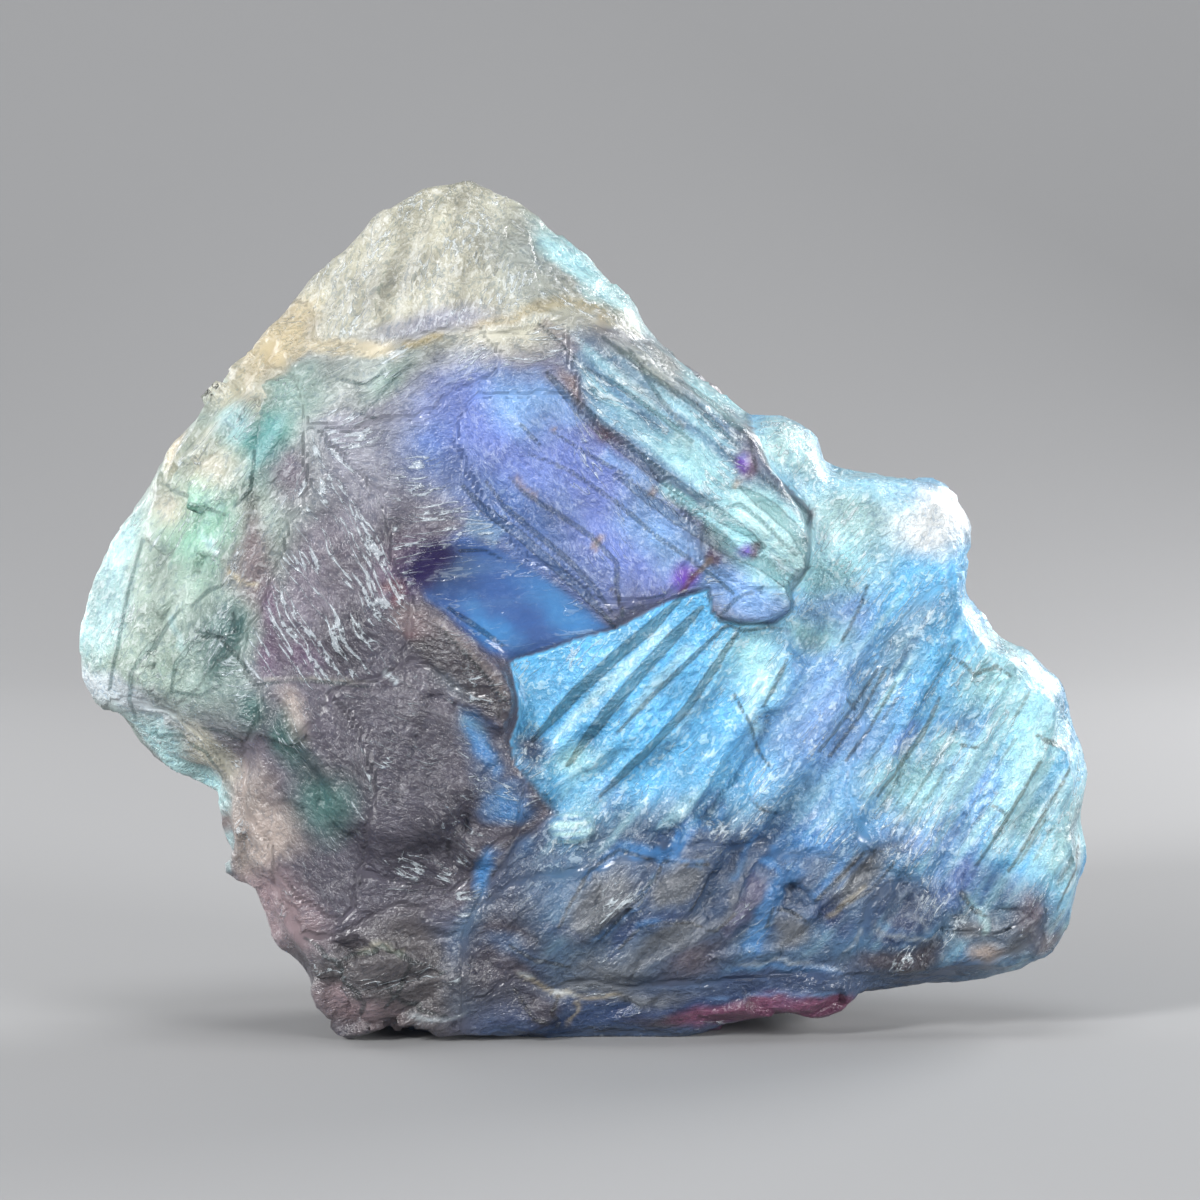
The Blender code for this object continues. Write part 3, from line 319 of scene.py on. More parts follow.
SIDE_ZONES = [
    # The white zone is a painted highlight.
    ("painted_glow", 18.4, 36.6, 5.8, 4.8, 0, 0.8), ("white", 24.0, 36.4, 3.5, 2.9, 0, 0.7),
    ("painted_glow", 14.2, 42.0, 3.2, 3.4, 0, 0.7), ("lilac", 16.8, 29.8, 3.8, 3.6, -10, 0.8),
    ("lilac", 16.6, 22.6, 6.2, 7.2, -25, 0.9), ("ice", 17.0, 33.2, 2.6, 2.6, 0, 0.9), ("ice", 15.6, 29.0, 3.4, 1.6, -30, 0.95), ("ice", -0.4, 20.4, 2.2, 1.6, 40, 0.9), ("ice", 11.4, 27.2, 2.6, 3.2, 0, 0.9), ("teal", 22.4, 28.6, 1.8, 4.4, -30, 0.9),
    ("lilac", 25.6, 19.2, 4.4, 5.4, 0, 0.9), ("lilac", 22.2, 18.0, 3.0, 4.0, -25, 0.9), ("ice", 29.2, 25.6, 3.4, 3.2, 0, 0.9),
    ("ice", 31.6, 21.0, 2.6, 4.8, -25, 0.9), ("ice", 34.2, 13.6, 2.4, 5.6, 0, 0.9), ("ice", 30.8, 15.0, 1.8, 2.8, -25, 0.9), ("ice", 25.2, 20.6, 2.2, 2.4, -25, 0.9),
    ("ice", 22.6, 18.0, 3.4, 2.6, -30, 0.9), ("lilac", 24.0, 14.4, 5.6, 2.0, 0, 0.9), ("teal", 7.0, 15.6, 13.0, 3.2, 8, 0.9),
    ("slate", 7.0, 0.0, 37.0, 10.8, 5, 0.6), ("slate", 8.0, 10.2, 19.0, 5.6, 3, 0.7), ("slate", 9.0, 13.4, 14.5, 3.2, 2, 0.8), ("slate", 22.6, 10.2, 7.0, 2.6, 2, 0.9),
    ("slate", -4.2, 15.4, 3.2, 5.0, 8, 0.8), ("channel", -5.2, 14.0, 1.3, 1.8, 20, 0.9), ("slate", -3.4, 20.6, 1.5, 1.8, 0, 0.9), ("channel", 16.6, 15.0, 3.6, 1.8, 20, 0.9), ("ash", 1.0, 10.4, 3.6, 2.0, 46, 0.5),
    ("ash", 6.6, 11.4, 2.4, 1.6, 30, 0.5),
    ("ash", 6.0, 7.4, 3.4, 1.3, 24, 0.5), ("ash", 14.0, 8.0, 1.5, 1.6, 0, 0.6),
    ("ash", 19.0, 12.0, 3.2, 1.2, 46, 0.5), ("mauve", 7.6, 5.8, 2.6, 1.1, 20, 0.9),
    ("navy", 17.2, 9.2, 1.7, 1.8, 0, 0.9), ("navy", 22.0, 8.4, 3.0, 1.6, 0, 0.9),
    ("umber", 23.0, 6.0, 3.2, 1.1, 0, 0.8), ("periwinkle", 27.0, 11.4, 3.2, 2.2, 0, 0.9),
    ("mauve", 31.0, 8.4, 2.6, 3.2, 0, 0.8), ("ash", 30.4, 6.2, 2.4, 1.4, 50, 0.9),
    ("blush", 28.3, 5.6, 1.5, 1.2, 30, 0.8), ("mauve", 33.2, 6.2, 1.8, 2.2, 0, 0.8),
    ("slate", 24.5, 4.0, 4.5, 1.0, 5, 0.8), ("navy", 4.6, 2.0, 16.0, 2.0, 4, 0.6),
    ("ash", 3.8, 3.0, 4.8, 0.9, 8, 0.9), ("smoke", 5.4, 1.2, 2.8, 1.0, 5, 0.7),
    ("wine", 10.5, 1.9, 5.4, 1.1, 6, 0.5), ("wine", 16.6, 2.2, 2.6, 1.3, 4, 0.4),
    ("slate", -5.0, 11.2, 3.0, 3.0, 0, 0.8), ("smoke", -6.0, 6.2, 4.6, 5.6, 0, 0.7), ("slate", -5.0, 6.4, 3.0, 1.0, -18, 0.8),
    ("slate", 4.0, 9.0, 2.6, 1.1, 10, 0.8), ("smoke", 21.4, 5.9, 4.6, 1.4, 5, 0.9), ("ash", 27.6, 7.8, 3.2, 2.0, 0, 0.9),
    ("ash", 1.6, 5.4, 4.0, 2.4, 0, 0.9), ("ash", 0.4, 3.8, 3.8, 1.0, 0, 0.7), ("smoke", -3.6, 2.4, 1.8, 1.2, -20, 0.7),
]
BEAD = ("painted_glow", -0.9, 15.5, 1.6, 1.15, 0, 0.3)
BEAD_HEIGHT = 1.2
BEAD_LINES = [
    ("channel", 0.25, 0.9, [(-2.6, 15.9), (-1.4, 16.2), (0.2, 16.0)]),
    ("channel", 0.2, 0.8, [(-2.4, 15.4), (-0.6, 15.4), (0.6, 15.6)]),
    ("channel", 0.2, 0.8, [(-2.2, 14.9), (-0.8, 14.8), (0.4, 15.0)]),
]
WINDOW_ZONES = [
    ("navy", -10.4, 33.4, 3.2, 2.6, 0, 0.9), ("channel", -1.0, 30.6, 4.4, 1.9, -36, 0.9),
    ("channel", -6.6, 29.6, 3.0, 1.0, -36, 0.9),
]
DEEP_SPOTS = [
    ("plum", -12.4, 33.8, 3.0, 2.2, 42, 0.9), ("ink", -11.2, 33.8, 3.0, 1.7, 42, 0.7), ("ink", -10.0, 34.8, 1.6, 1.0, 0, 0.9),
    ("oxblood", -12.8, 31.7, 0.5, 1.1, -18, 0.8), ("oxblood", -13.4, 32.4, 0.9, 0.5, 20, 0.9),
    ("oxblood", -11.9, 29.2, 0.7, 0.6, 0, 0.9), ("rose_brown", -11.9, 30.0, 1.8, 1.3, -30, 0.9),
    ("ash", -9.2, 25.6, 1.8, 0.8, -38, 0.9), ("amethyst", 6.9, 33.2, 1.3, 1.1, 30, 0.8), ("plum", 8.8, 34.5, 0.6, 0.7, 0, 0.8),
    ("amethyst", 11.0, 34.9, 0.8, 0.7, 0, 0.9), ("plum", 11.0, 40.7, 0.9, 1.5, 0, 0.9), ("amethyst", 10.9, 40.9, 0.5, 0.8, 0, 0.9),
    ("plum", 11.5, 40.5, 0.5, 0.9, 0, 0.8),
]

# How the surface is worked, later rows over earlier ones: middle x and z, reach along and across and turn of the
# region; then the angle that the streaks and steps run at, and the amounts of streaks, steps, facets and sparkle.
HEAD_REGIONS = [
    ("level streaks", (-8.0, 40.0, 60.0, 60.0, 0), 6, (0.36, 0.05, 0.1, 0.25)),
    ("crest ridges", (-11.5, 54.6, 14.0, 6.4, 0), 76, (0.5, 0.5, 0.3, 0.7)),
    ("crest right", (0.0, 53.4, 8.0, 3.4, -42), -44, (0.4, 0.4, 0.3, 0.7)),
    ("under the crest", (-13.5, 46.6, 9.0, 2.6, 14), 28, (0.5, 0.2, 0.4, 0.4)),
    ("violet face", (-0.5, 38.6, 10.5, 5.4, -38), -58, (0.12, 0.05, 0.1, 0.35)),
    ("upper right", (5.5, 44.3, 10.5, 4.0, -38), -38, (0.5, 0.8, 0.2, 0.6)),
    ("tip", (12.5, 36.0, 5.0, 4.4, -38), -38, (0.2, 0.3, 0.1, 0.6)),
    ("steep streaks", (-18.6, 32.0, 6.4, 13.5, 12), -58, (1.0, 0.2, 0.2, 0.1)),
    ("dark core", (-12.0, 19.0, 9.0, 8.5, 0), -24, (0.35, 0.1, 0.3, 0.1)),
    ("dark core side", (-19.0, 18.0, 5.0, 9.0, 10), -58, (0.4, 0.1, 0.3, 0.1)),
    ("left facet", (-28.4, 33.5, 17.5, 7.0, 62), 58, (0.3, 0.35, 0.85, 0.6)),
    ("wing", (-34.0, 29.0, 2.9, 10.0, -12), 58, (0.1, 0.1, 0.1, 1.0)),
    ("wing foot", (-29.0, 19.6, 6.0, 3.0, -38), 40, (0.3, 0.3, 0.5, 0.8)),
    ("foot", (-13.5, 4.5, 9.5, 5.5, 0), 20, (0.2, 0.1, 1.0, 0.1)),
    ("foot margin", (-23.5, 10.0, 3.2, 9.0, 14), 58, (0.3, 0.2, 0.4, 0.2)),
]
SIDE_REGIONS = [
    ("side", (15.0, 22.0, 80.0, 80.0, 0), 50, (0.4, 0.5, 0.1, 0.9)),
    ("lanes", (3.5, 25.0, 9.0, 8.0, 0), 50, (0.1, 0.2, 0.05, 0.9)),
    ("top", (19.5, 36.5, 10.0, 5.0, 0), 50, (0.2, 0.15, 0.35, 1.0)),
    ("right", (27.5, 20.0, 9.5, 14.0, 0), 58, (0.7, 0.9, 0.15, 0.9)),
    ("rim", (34.5, 14.0, 3.2, 14.0, 4), 58, (0.5, 1.0, 0.15, 0.9)),
    ("slope", (7.5, 7.0, 19.5, 7.6, 4), 42, (0.1, 0.15, 0.4, 0.1)),
    ("low right", (26.0, 8.4, 8.0, 4.6, 12), 58, (0.3, 0.4, 0.7, 0.25)),
    ("underside", (6.0, 2.2, 24.0, 2.6, 2), 12, (0.1, 0.1, 0.5, 0.05)),
]


def shade(label, description, rgb):
    """A colour that the user can change."""
    return bpy.props.FloatVectorProperty(
        name=label, description=description, subtype="COLOR", size=3, min=0.0, max=1.0, default=rgb
    )


def millimetres(label, description, value):
    """A size in millimetres that the user can change."""
    return bpy.props.FloatProperty(name=label, description=description, default=value, min=0.0, soft_max=20.0)


def share(label, description, value):
    """A share from 0 to 1 that the user can change."""
    return bpy.props.FloatProperty(
        name=label, description=description, default=value, min=0.0, max=1.0, subtype="FACTOR"
    )


class FluoriteColours(bpy.types.PropertyGroup):
    mauve: shade("Mauve", "Etched face of the big crystal", (0.16, 0.14, 0.175))
    pale_mauve: shade("Pale mauve", "Upper etched face", (0.32, 0.32, 0.38))
    smoke: shade("Smoke", "Thick dark core of the big crystal", (0.075, 0.068, 0.09))
    cream: shade("Cream", "Crest of the big crystal", (0.58, 0.56, 0.44))
    honey: shade("Honey", "Iron-stained band under the crest", (0.7, 0.58, 0.36))
    gold: shade("Gold", "Iron stain along the crest's foot", (0.44, 0.35, 0.17))
    mist: shade("Mist", "Grey-green frosting", (0.36, 0.4, 0.37))
    sea_glass: shade("Sea glass", "Left facet", (0.45, 0.58, 0.49))
    moss: shade("Moss", "Shaded part of the left facet", (0.36, 0.48, 0.43))
    emerald: shade("Emerald", "Green spot near the shoulder", (0.08, 0.34, 0.31))
    mint: shade("Mint", "Pale green spot", (0.35, 0.74, 0.54))
    fern: shade("Fern", "Green spot in the dark core", (0.07, 0.16, 0.15))
    # Painted backlight: pale cyan that stands in for light shining through the thin edges.
    painted_glow: shade("Glow paint", "Thin edges that let the light through", (0.6, 0.92, 0.92))
    # Painted highlight: near-white used for glints on the streaks and specks, for lit ledge edges and for the bright
    # lower-left corner.
    painted_highlight: shade("Highlight paint", "Lilac-white corner", (0.8, 0.9, 0.95))
    # Ice is also the tone that the painted highlight stripes of the growth bands lighten towards.
    ice: shade("Ice", "Pale blue-green zones", (0.44, 0.84, 0.9))
    # Painted highlight: the brightest spot, where the light is blown out.
    white: shade("White", "Brightest spot", (0.96, 1.0, 1.0))
    periwinkle: shade("Periwinkle", "Blue-grey shoulder", (0.115, 0.2, 0.46))
    violet: shade("Violet", "Violet-blue face", (0.15, 0.22, 0.58))
    lilac: shade("Lilac", "Lilac-blue zones", (0.24, 0.44, 0.8))
    amethyst: shade("Amethyst", "Vivid purple inclusion", (0.14, 0.04, 0.45))
    teal: shade("Teal", "Upper right of the big crystal", (0.165, 0.33, 0.49))
    cobalt: shade("Cobalt", "Clear window into the big crystal", (0.055, 0.13, 0.36))
    cyan: shade("Cyan", "Side crystal", (0.145, 0.56, 0.95))
    channel: shade("Channel", "Blue channels on the lower slope", (0.07, 0.25, 0.56))
    slate: shade("Slate", "Lower slope", (0.065, 0.105, 0.19))
    navy: shade("Navy", "Shaded underside", (0.035, 0.065, 0.16))
    wine: shade("Wine", "Dark red-purple lobes underneath", (0.22, 0.075, 0.14))
    ash: shade("Ash", "Grey flats on the lower slope", (0.145, 0.16, 0.185))
    taupe: shade("Taupe", "Grey-brown islands and foot", (0.1, 0.09, 0.095))
    blush: shade("Blush", "Pink-beige margin", (0.45, 0.37, 0.33))
    plum: shade("Plum", "Plum patches", (0.16, 0.105, 0.17))
    dusk: shade("Dusk", "Dull pink foot", (0.36, 0.26, 0.28))
    rose_brown: shade("Rose brown", "Rusty pink stains", (0.22, 0.165, 0.175))
    umber: shade("Umber", "Torn flap over the window", (0.045, 0.038, 0.042))
    ink: shade("Ink", "Darkest inclusion", (0.012, 0.006, 0.06))
    oxblood: shade("Oxblood", "Dark red flecks", (0.1, 0.025, 0.04))
    amber: shade("Amber", "Rusty flecks along the ledges", (0.34, 0.22, 0.12))
    # Painted shade: tones that darken the step walls of the ledges, as if in shadow.
    head_wall_shade: shade("Big crystal's walls", "Tone of the growth ledges' walls", (0.44, 0.54, 0.54))
    side_wall_shade: shade("Side crystal's walls", "Tone of the growth ledges' walls", (0.5, 0.42, 0.36))
    # Painted shade: tone of the dark lines drawn along the edges of the ledges.
    outline: shade("Ledge outline", "Tone of the dark lines along the ledges", (0.25, 0.3, 0.32))
    # Painted shade: tone that darkens the low places of the etched skin.
    hollow_shade: shade("Hollow shading", "Tone of the dark hollows of the etched skin", (0.34, 0.44, 0.56))


class FluoriteSkin(bpy.types.PropertyGroup):
    voxel: millimetres("Voxel", "Spacing of the fine skin, in mm", 0.52)
    ledge_height: millimetres("Ledge height", "Height of a ledge that is 1 mm wide, in mm", 0.55)
    step_width: millimetres("Step width", "Width of the fine growth steps, in mm", 0.8)
    step_length: millimetres("Step length", "Length of the fine growth steps, in mm", 7.0)
    step_height: millimetres("Step height", "Height of the fine growth steps, in mm", 0.4)
    facet_size: millimetres("Facet size", "Size of the small broken facets, in mm", 3.2)
    facet_tilt: share("Facet tilt", "Slope of the small broken facets", 0.8)
    etch_size: millimetres("Etch size", "Size of the etched dimples, in mm", 1.3)
    etch_depth: millimetres("Etch depth", "Depth of the etched dimples, in mm", 0.10)
    clearness: share("Clearness", "How much light passes through the stone", 0.35)
    gloss: share("Gloss", "Strength of the wet-looking gloss", 0.25)
    haze: bpy.props.FloatProperty(
        name="Haze", description="How fast light fades inside the stone, per metre", default=60.0, min=0.0
    )


class FluoriteStage(bpy.types.PropertyGroup):
    floor_shade: shade("Floor", "Floor and backdrop", (0.30, 0.30, 0.305))
    key_power: bpy.props.FloatProperty(name="Key light", description="Power of the front light", default=4.3, unit="POWER")
    back_power: bpy.props.FloatProperty(name="Back light", description="Power of the light behind", default=1.3, unit="POWER")
    wall_power: bpy.props.FloatProperty(name="Wall light", description="Power of the wall light", default=3.5, unit="POWER")
    distance: bpy.props.FloatProperty(name="Distance", description="Camera to stone", default=0.3, unit="LENGTH")
    elevation: bpy.props.FloatProperty(
        name="Elevation", description="Camera angle above level", default=math.radians(4), subtype="ANGLE"
    )


# What is drawn on the skin, point by point: the colour zones, how each part is worked, and the marks on the front.


def beside_line(points, line):
    """How far each x, z point is from a drawn line, in mm, above zero on its right, and how far along it lies."""
    line = np.array(line, float)
    lengths = np.hypot(*np.diff(line, axis=0).T)
    starts = np.concatenate([[0.0], np.cumsum(lengths)])
    gap_there = np.full(len(points), np.inf)
    share_there = np.zeros(len(points))
    for start, end, length, before in zip(line, line[1:], lengths, starts):
        along = (end - start) / length
        place = np.clip((points - start) @ along, 0.0, length)
        off = points - start - place[:, None] * along
        gap = np.hypot(off[:, 0], off[:, 1])
        closer = gap < np.abs(gap_there)
        right = np.where(off[:, 0] * along[1] - off[:, 1] * along[0] >= 0.0, 1.0, -1.0)
        gap_there = np.where(closer, gap * right, gap_there)
        share_there = np.where(closer, (before + place) / starts[-1], share_there)
    return gap_there, share_there


def inside_outline(points, outline):
    """How far each x, z point lies inside a closed outline, in mm, and below zero outside it."""
    closed = [*outline, outline[0]]
    inside = np.zeros(len(points), bool)
    for (x0, z0), (x1, z1) in zip(closed, closed[1:]):
        between = (z0 > points[:, 1]) != (z1 > points[:, 1])
        with np.errstate(divide="ignore", invalid="ignore"):
            crossing = x0 + (points[:, 1] - z0) * (x1 - x0) / (z1 - z0)
        inside ^= between & (points[:, 0] < crossing)
    gap = np.abs(beside_line(points, closed)[0])
    return np.where(inside, gap, -gap)


def inside_lines(points, rows):
    """How far each x, z point lies inside the nearest drawn wall, in mm, below zero outside it, and how high it
    rises: each wall climbs to a plate on its right, which slopes back to the face.
    """
    depth, rise = np.full(len(points), -np.inf), np.zeros(len(points))
    for width, line in rows:
        gap, share_along = beside_line(points, line)
        ends = np.minimum(1.0, 5.0 * np.minimum(share_along, 1.0 - share_along))
        half = np.maximum(width / 2 * (0.3 + 0.7 * ends), THINNEST_WALL)
        depth = np.maximum(depth, half - np.abs(gap))
        climb = np.clip(0.5 + gap / (2.0 * half), 0.0, 1.0)
        slope = np.exp(-np.maximum(gap - half, 0.0) / PLATE_REACH)
        rise += climb * slope * ends * width
    return depth, rise


def turned(points, x, z, turn):
    """The places of points from the middle of an ellipse, along it and across it."""
    angle = math.radians(turn)
    right, up = points[:, 0] - x, points[:, 1] - z
    return right * math.cos(angle) + up * math.sin(angle), up * math.cos(angle) - right * math.sin(angle)


def inside_zone(points, x, z, along, across, turn, soft):
    """1 inside an ellipse and 0 outside it, with an edge that fades over the soft share of its reach."""
    u, v = turned(points, x, z, turn)
    return 1.0 - smooth_step(np.hypot(u / along, v / across), 1.0 - soft, 1.0 + 0.35 * soft)


def wandered(places, size, reach, seed):
    """The x and z of each place, moved about by smooth noise of a given size, in mm."""
    shift = Vector((seed, seed, seed))
    moves = [tuple(perlin.noise_vector(Vector(place) / size + shift)) for place in places]
    return places[:, [0, 2]] + reach * np.array(moves)[:, [0, 2]]


def smooth_step(values, low, high):
    rising = np.clip((values - low) / (high - low), 0.0, 1.0)
    return rising**2 * (3.0 - 2.0 * rising)


def laid_over(below, above, mask):
    return below + mask[:, None] * (above - below)


def zone_colours(points, tint, zones, colours, amount=1.0):
    """The tint with the zones laid over it, one after the other."""
    for colour, *ellipse in zones:
        tint = laid_over(tint, np.array(getattr(colours, colour)), amount * inside_zone(points, *ellipse))
    return tint


def region_values(points, regions):
    """The angle of the streaks, the amounts of streaks, steps, facets and sparkle, and the gap to where the angle
    changes, in mm.
    """
    lie, border = np.zeros(len(points)), np.full(len(points), np.inf)
    amounts = np.zeros((len(points), 4))
    for _, (x, z, along, across, turn), angle, given in regions:
        mask = inside_zone(points, x, z, along, across, turn, 0.3)
        u, v = turned(points, x, z, turn)
        reach = np.hypot(u / along, v / across)
        gap = np.abs(reach - 0.9) * reach / np.hypot(u / along**2, v / across**2)
        changes = lie != angle
        border = np.where(changes, np.where(reach < 0.9, gap, np.minimum(border, gap)), border)
        lie = np.where(reach < 0.9, angle, lie)
        amounts += mask[:, None] * (np.array(given) - amounts)
    return lie, amounts, border


def store_mark(mesh, name, values):
    mark = mesh.attributes.new(name, "FLOAT", "POINT")
    mark.data.foreach_set("value", values.astype(np.float32))


def growth_bands(places, lie):
    """Long bands that run with the streaks, between about -1 and 1, which set the painted shade and highlight stripes.
    """
    angle = np.radians(lie)
    along = places[:, 0] * np.cos(angle) + places[:, 2] * np.sin(angle)
    across = places[:, 2] * np.cos(angle) - places[:, 0] * np.sin(angle)
    bands = np.zeros(len(places))
    for length, width in BAND_SIZES:
        cells = np.column_stack([along / length, places[:, 1] / length, across / width])
        bands += np.array([perlin.noise(Vector(cell)) for cell in cells])
    return bands


def stroke_colours(points, tint, strokes, colours, amount):
    """The tint with drawn lines laid over it."""
    for colour, width, strength, line in strokes:
        gap, share_along = beside_line(points, line)
        ends = smooth_step(np.minimum(share_along, 1.0 - share_along), -0.02, 0.12)
        soft = 0.1 + 0.2 * width
        mask = 1.0 - smooth_step(np.abs(gap), width / 2 - soft, width / 2 + soft)
        tint = laid_over(tint, np.array(getattr(colours, colour)), strength * amount * ends * mask)
    return tint


def mottling(places):
    """Uneven brightness of the stone, about 0, from broad patches down to small ones."""
    return MOTTLE_CONTRAST * np.array([perlin.fractal(Vector(place) / MOTTLE_SIZE, 0.7, 2.0, 4) for place in places])


def stone_tint(flat, drift, rough, on_side, on_front, colours):
    """The colour of each point, without its fine grain."""
    whole = np.ones((len(flat), 1))
    tint = zone_colours(drift, whole * np.array(colours.mauve), HEAD_ZONES, colours)
    pane = zone_colours(drift, whole * np.array(colours.cobalt), WINDOW_ZONES, colours)
    in_window = smooth_step(inside_outline(flat, WINDOW_OUTLINE), -0.2, 0.4)
    on_flap = smooth_step(inside_outline(rough, FLAP_OUTLINE), -0.2, 0.6)
    tint = laid_over(tint, pane, on_front * in_window)
    tint = laid_over(tint, np.array(colours.umber), 0.8 * on_front * on_flap)
    tint = zone_colours(rough, tint, DEEP_SPOTS, colours, on_front)
    tint = stroke_colours(rough, tint, HEAD_STROKES, colours, on_front)
    side_tint = zone_colours(drift, whole * np.array(colours.cyan), SIDE_ZONES, colours)
    side_tint = stroke_colours(rough, side_tint, SIDE_STROKES, colours, on_front)
    return laid_over(tint, side_tint, on_side)


def store_colour(mesh, name, tint):
    paint = mesh.color_attributes.new(name, "FLOAT_COLOR", "POINT")
    paint.data.foreach_set("color", np.column_stack([tint, np.ones(len(tint))]).astype(np.float32).ravel())


def draw_skin(mesh, colours):
    """Stores the colour, the working and the marks of each point of a skin drawn in mm."""
    places = np.zeros(len(mesh.vertices) * 3)
    mesh.vertices.foreach_get("co", places)
    places = places.reshape(-1, 3)
    flat = places[:, [0, 2]]
    on_front = smooth_step(-places[:, 1], *FRONT_DEPTH)
    rough = wandered(places, 0.9, 0.3, 8.0)
    drift = wandered(places, 4.0, 1.2, 3.0) + rough - flat
    behind = smooth_step(places[:, 1], *BACK_DEPTH)
    drift += behind[:, None] * (wandered(places, 9.0, 9.0, 5.0) - flat)
    window = inside_outline(flat, WINDOW_OUTLINE)
    side = inside_outline(flat, SIDE_OUTLINE)
    blur = 0.05 + 0.12 * np.maximum(SHARP_ABOVE - flat[:, 1], 0.0)
    on_side = smooth_step(side, -blur, blur)

    head_lie, head_amounts, head_border = region_values(drift, HEAD_REGIONS)
    side_lie, side_amounts, side_border = region_values(drift, SIDE_REGIONS)
    lie = np.where(side > 0.0, side_lie, head_lie)
    border = np.minimum(np.where(side > 0.0, side_border, head_border), np.abs(side))
    amounts = laid_over(head_amounts, side_amounts, on_side)
    amounts[:, 1:3] *= smooth_step(border, 0.2, RELIEF_CALM)[:, None]
    amounts[:, 2] = np.maximum(amounts[:, 2], SIDE_FACETS * behind)
    store_mark(mesh, "lie", lie)
    store_mark(mesh, "calm", smooth_step(border, 0.1, SKIN_CALM))
    for name, values in zip(("streaks", "steps", "facets", "sparkle"), amounts.T):
        store_mark(mesh, name, values)

    tint = stone_tint(flat, drift, rough, on_side, on_front, colours)
    # The growth bands paint shade and highlight stripes: the tint darkens along some and lightens towards pale ice blue
    # along others. The mottling is the stone's own uneven tone.
    bands = amounts[:, 1] * growth_bands(places, lie)
    cloud = 1.0 + smooth_step(-window, -0.4, 0.4) * mottling(places)
    tint *= (cloud * (1.0 + BAND_SHADE * np.minimum(bands, 0.0)))[:, None]
    blueness = smooth_step(tint[:, 2] - tint[:, 0], 0.05, 0.25)
    lighter = laid_over(np.sqrt(tint), np.array(colours.ice), 0.7 * blueness)
    tint = laid_over(tint, lighter, np.clip(BAND_HIGHLIGHT * bands, 0.0, 1.0))
    tint = zone_colours(flat, tint, [BEAD], colours, on_front)
    tint = stroke_colours(flat, tint, BEAD_LINES, colours, on_front)
    store_colour(mesh, "tint", tint)
    # Painted shade: the ledge walls take the tint darkened by the wall tone.
    wall = laid_over(np.array(colours.head_wall_shade), np.array(colours.side_wall_shade), on_side)
    store_colour(mesh, "wall_shade_tint", tint * wall)

    head_ledge, head_rise = inside_lines(flat, HEAD_LEDGES)
    side_ledge, side_rise = inside_lines(flat, SIDE_LEDGES)
    bead_rise = BEAD_HEIGHT * inside_zone(flat, *BEAD[1:])
    store_mark(mesh, "rise", on_front * (head_rise + side_rise + bead_rise))
    for name, values in (("window", window), ("ledge", np.maximum(head_ledge, side_ledge))):
        store_mark(mesh, name, np.where(on_front > 0.5, values, FAR_OUTSIDE))


# Node building, shared by the relief and the material.


def wire(tree, socket, value):
    """Feeds a socket from another socket or sets its value."""
    if isinstance(value, bpy.types.NodeSocket):
        tree.links.new(value, socket)
    else:
        socket.default_value = value


def calc(tree, operation, *values):
    node = tree.nodes.new("ShaderNodeMath")
    node.operation = operation
    for socket, value in zip(node.inputs, values):
        wire(tree, socket, value)
    return node.outputs[0]


def product(tree, first, *others):
    for other in others:
        first = calc(tree, "MULTIPLY", first, other)
    return first


def total(tree, first, *others):
    for other in others:
        first = calc(tree, "ADD", first, other)
    return first


def vector_calc(tree, operation, *values):
    node = tree.nodes.new("ShaderNodeVectorMath")
    node.operation = operation
    for socket, value in zip(node.inputs, values):
        wire(tree, socket, value)
    return node.outputs["Value" if operation in ("DOT_PRODUCT", "LENGTH") else "Vector"]


def scaled(tree, vector, factor):
    node = tree.nodes.new("ShaderNodeVectorMath")
    node.operation = "SCALE"
    wire(tree, node.inputs[0], vector)
    wire(tree, node.inputs["Scale"], factor)
    return node.outputs["Vector"]


def vector_of(tree, x, y, z):
    node = tree.nodes.new("ShaderNodeCombineXYZ")
    for socket, value in zip(node.inputs, (x, y, z)):
        wire(tree, socket, value)
    return node.outputs[0]


def parts_of(tree, vector):
    node = tree.nodes.new("ShaderNodeSeparateXYZ")
    wire(tree, node.inputs[0], vector)
    return node.outputs["X"], node.outputs["Y"], node.outputs["Z"]


def fade(tree, value, low, high, to_low=0.0, to_high=1.0):
    """Rises smoothly from to_low at low to to_high at high."""
    node = tree.nodes.new("ShaderNodeMapRange")
    node.interpolation_type = "SMOOTHSTEP"
    names = ("Value", "From Min", "From Max", "To Min", "To Max")
    for name, given in zip(names, (value, low, high, to_low, to_high)):
        wire(tree, node.inputs[name], given)
    return node.outputs["Result"]


def noise(tree, vector, scale, detail=2.0, roughness=0.5, distortion=0.0, output="Fac"):
    node = tree.nodes.new("ShaderNodeTexNoise")
    names = ("Vector", "Scale", "Detail", "Roughness", "Distortion")
    for name, given in zip(names, (vector, scale, detail, roughness, distortion)):
        wire(tree, node.inputs[name], given)
    return node.outputs[output]


def facet_height(tree, place, size):
    """Height of small flat facets, each tilted its own way, as a share of their size."""
    cells = tree.nodes.new("ShaderNodeTexVoronoi")
    local = scaled(tree, place, calc(tree, "DIVIDE", 1.0, size))
    wire(tree, cells.inputs["Vector"], local)
    cells.inputs["Scale"].default_value = 1.0
    reach = vector_calc(tree, "SUBTRACT", local, cells.outputs["Position"])
    slope = vector_calc(tree, "SUBTRACT", cells.outputs["Color"], (0.5, 0.5, 0.5))
    return vector_calc(tree, "DOT_PRODUCT", reach, slope)


def along_lie(tree, place, lie):
    """The place turned so that x runs along the streaks."""
    node = tree.nodes.new("ShaderNodeVectorRotate")
    node.rotation_type = "Y_AXIS"
    wire(tree, node.inputs["Vector"], place)
    wire(tree, node.inputs["Angle"], calc(tree, "RADIANS", lie))
    return node.outputs["Vector"]


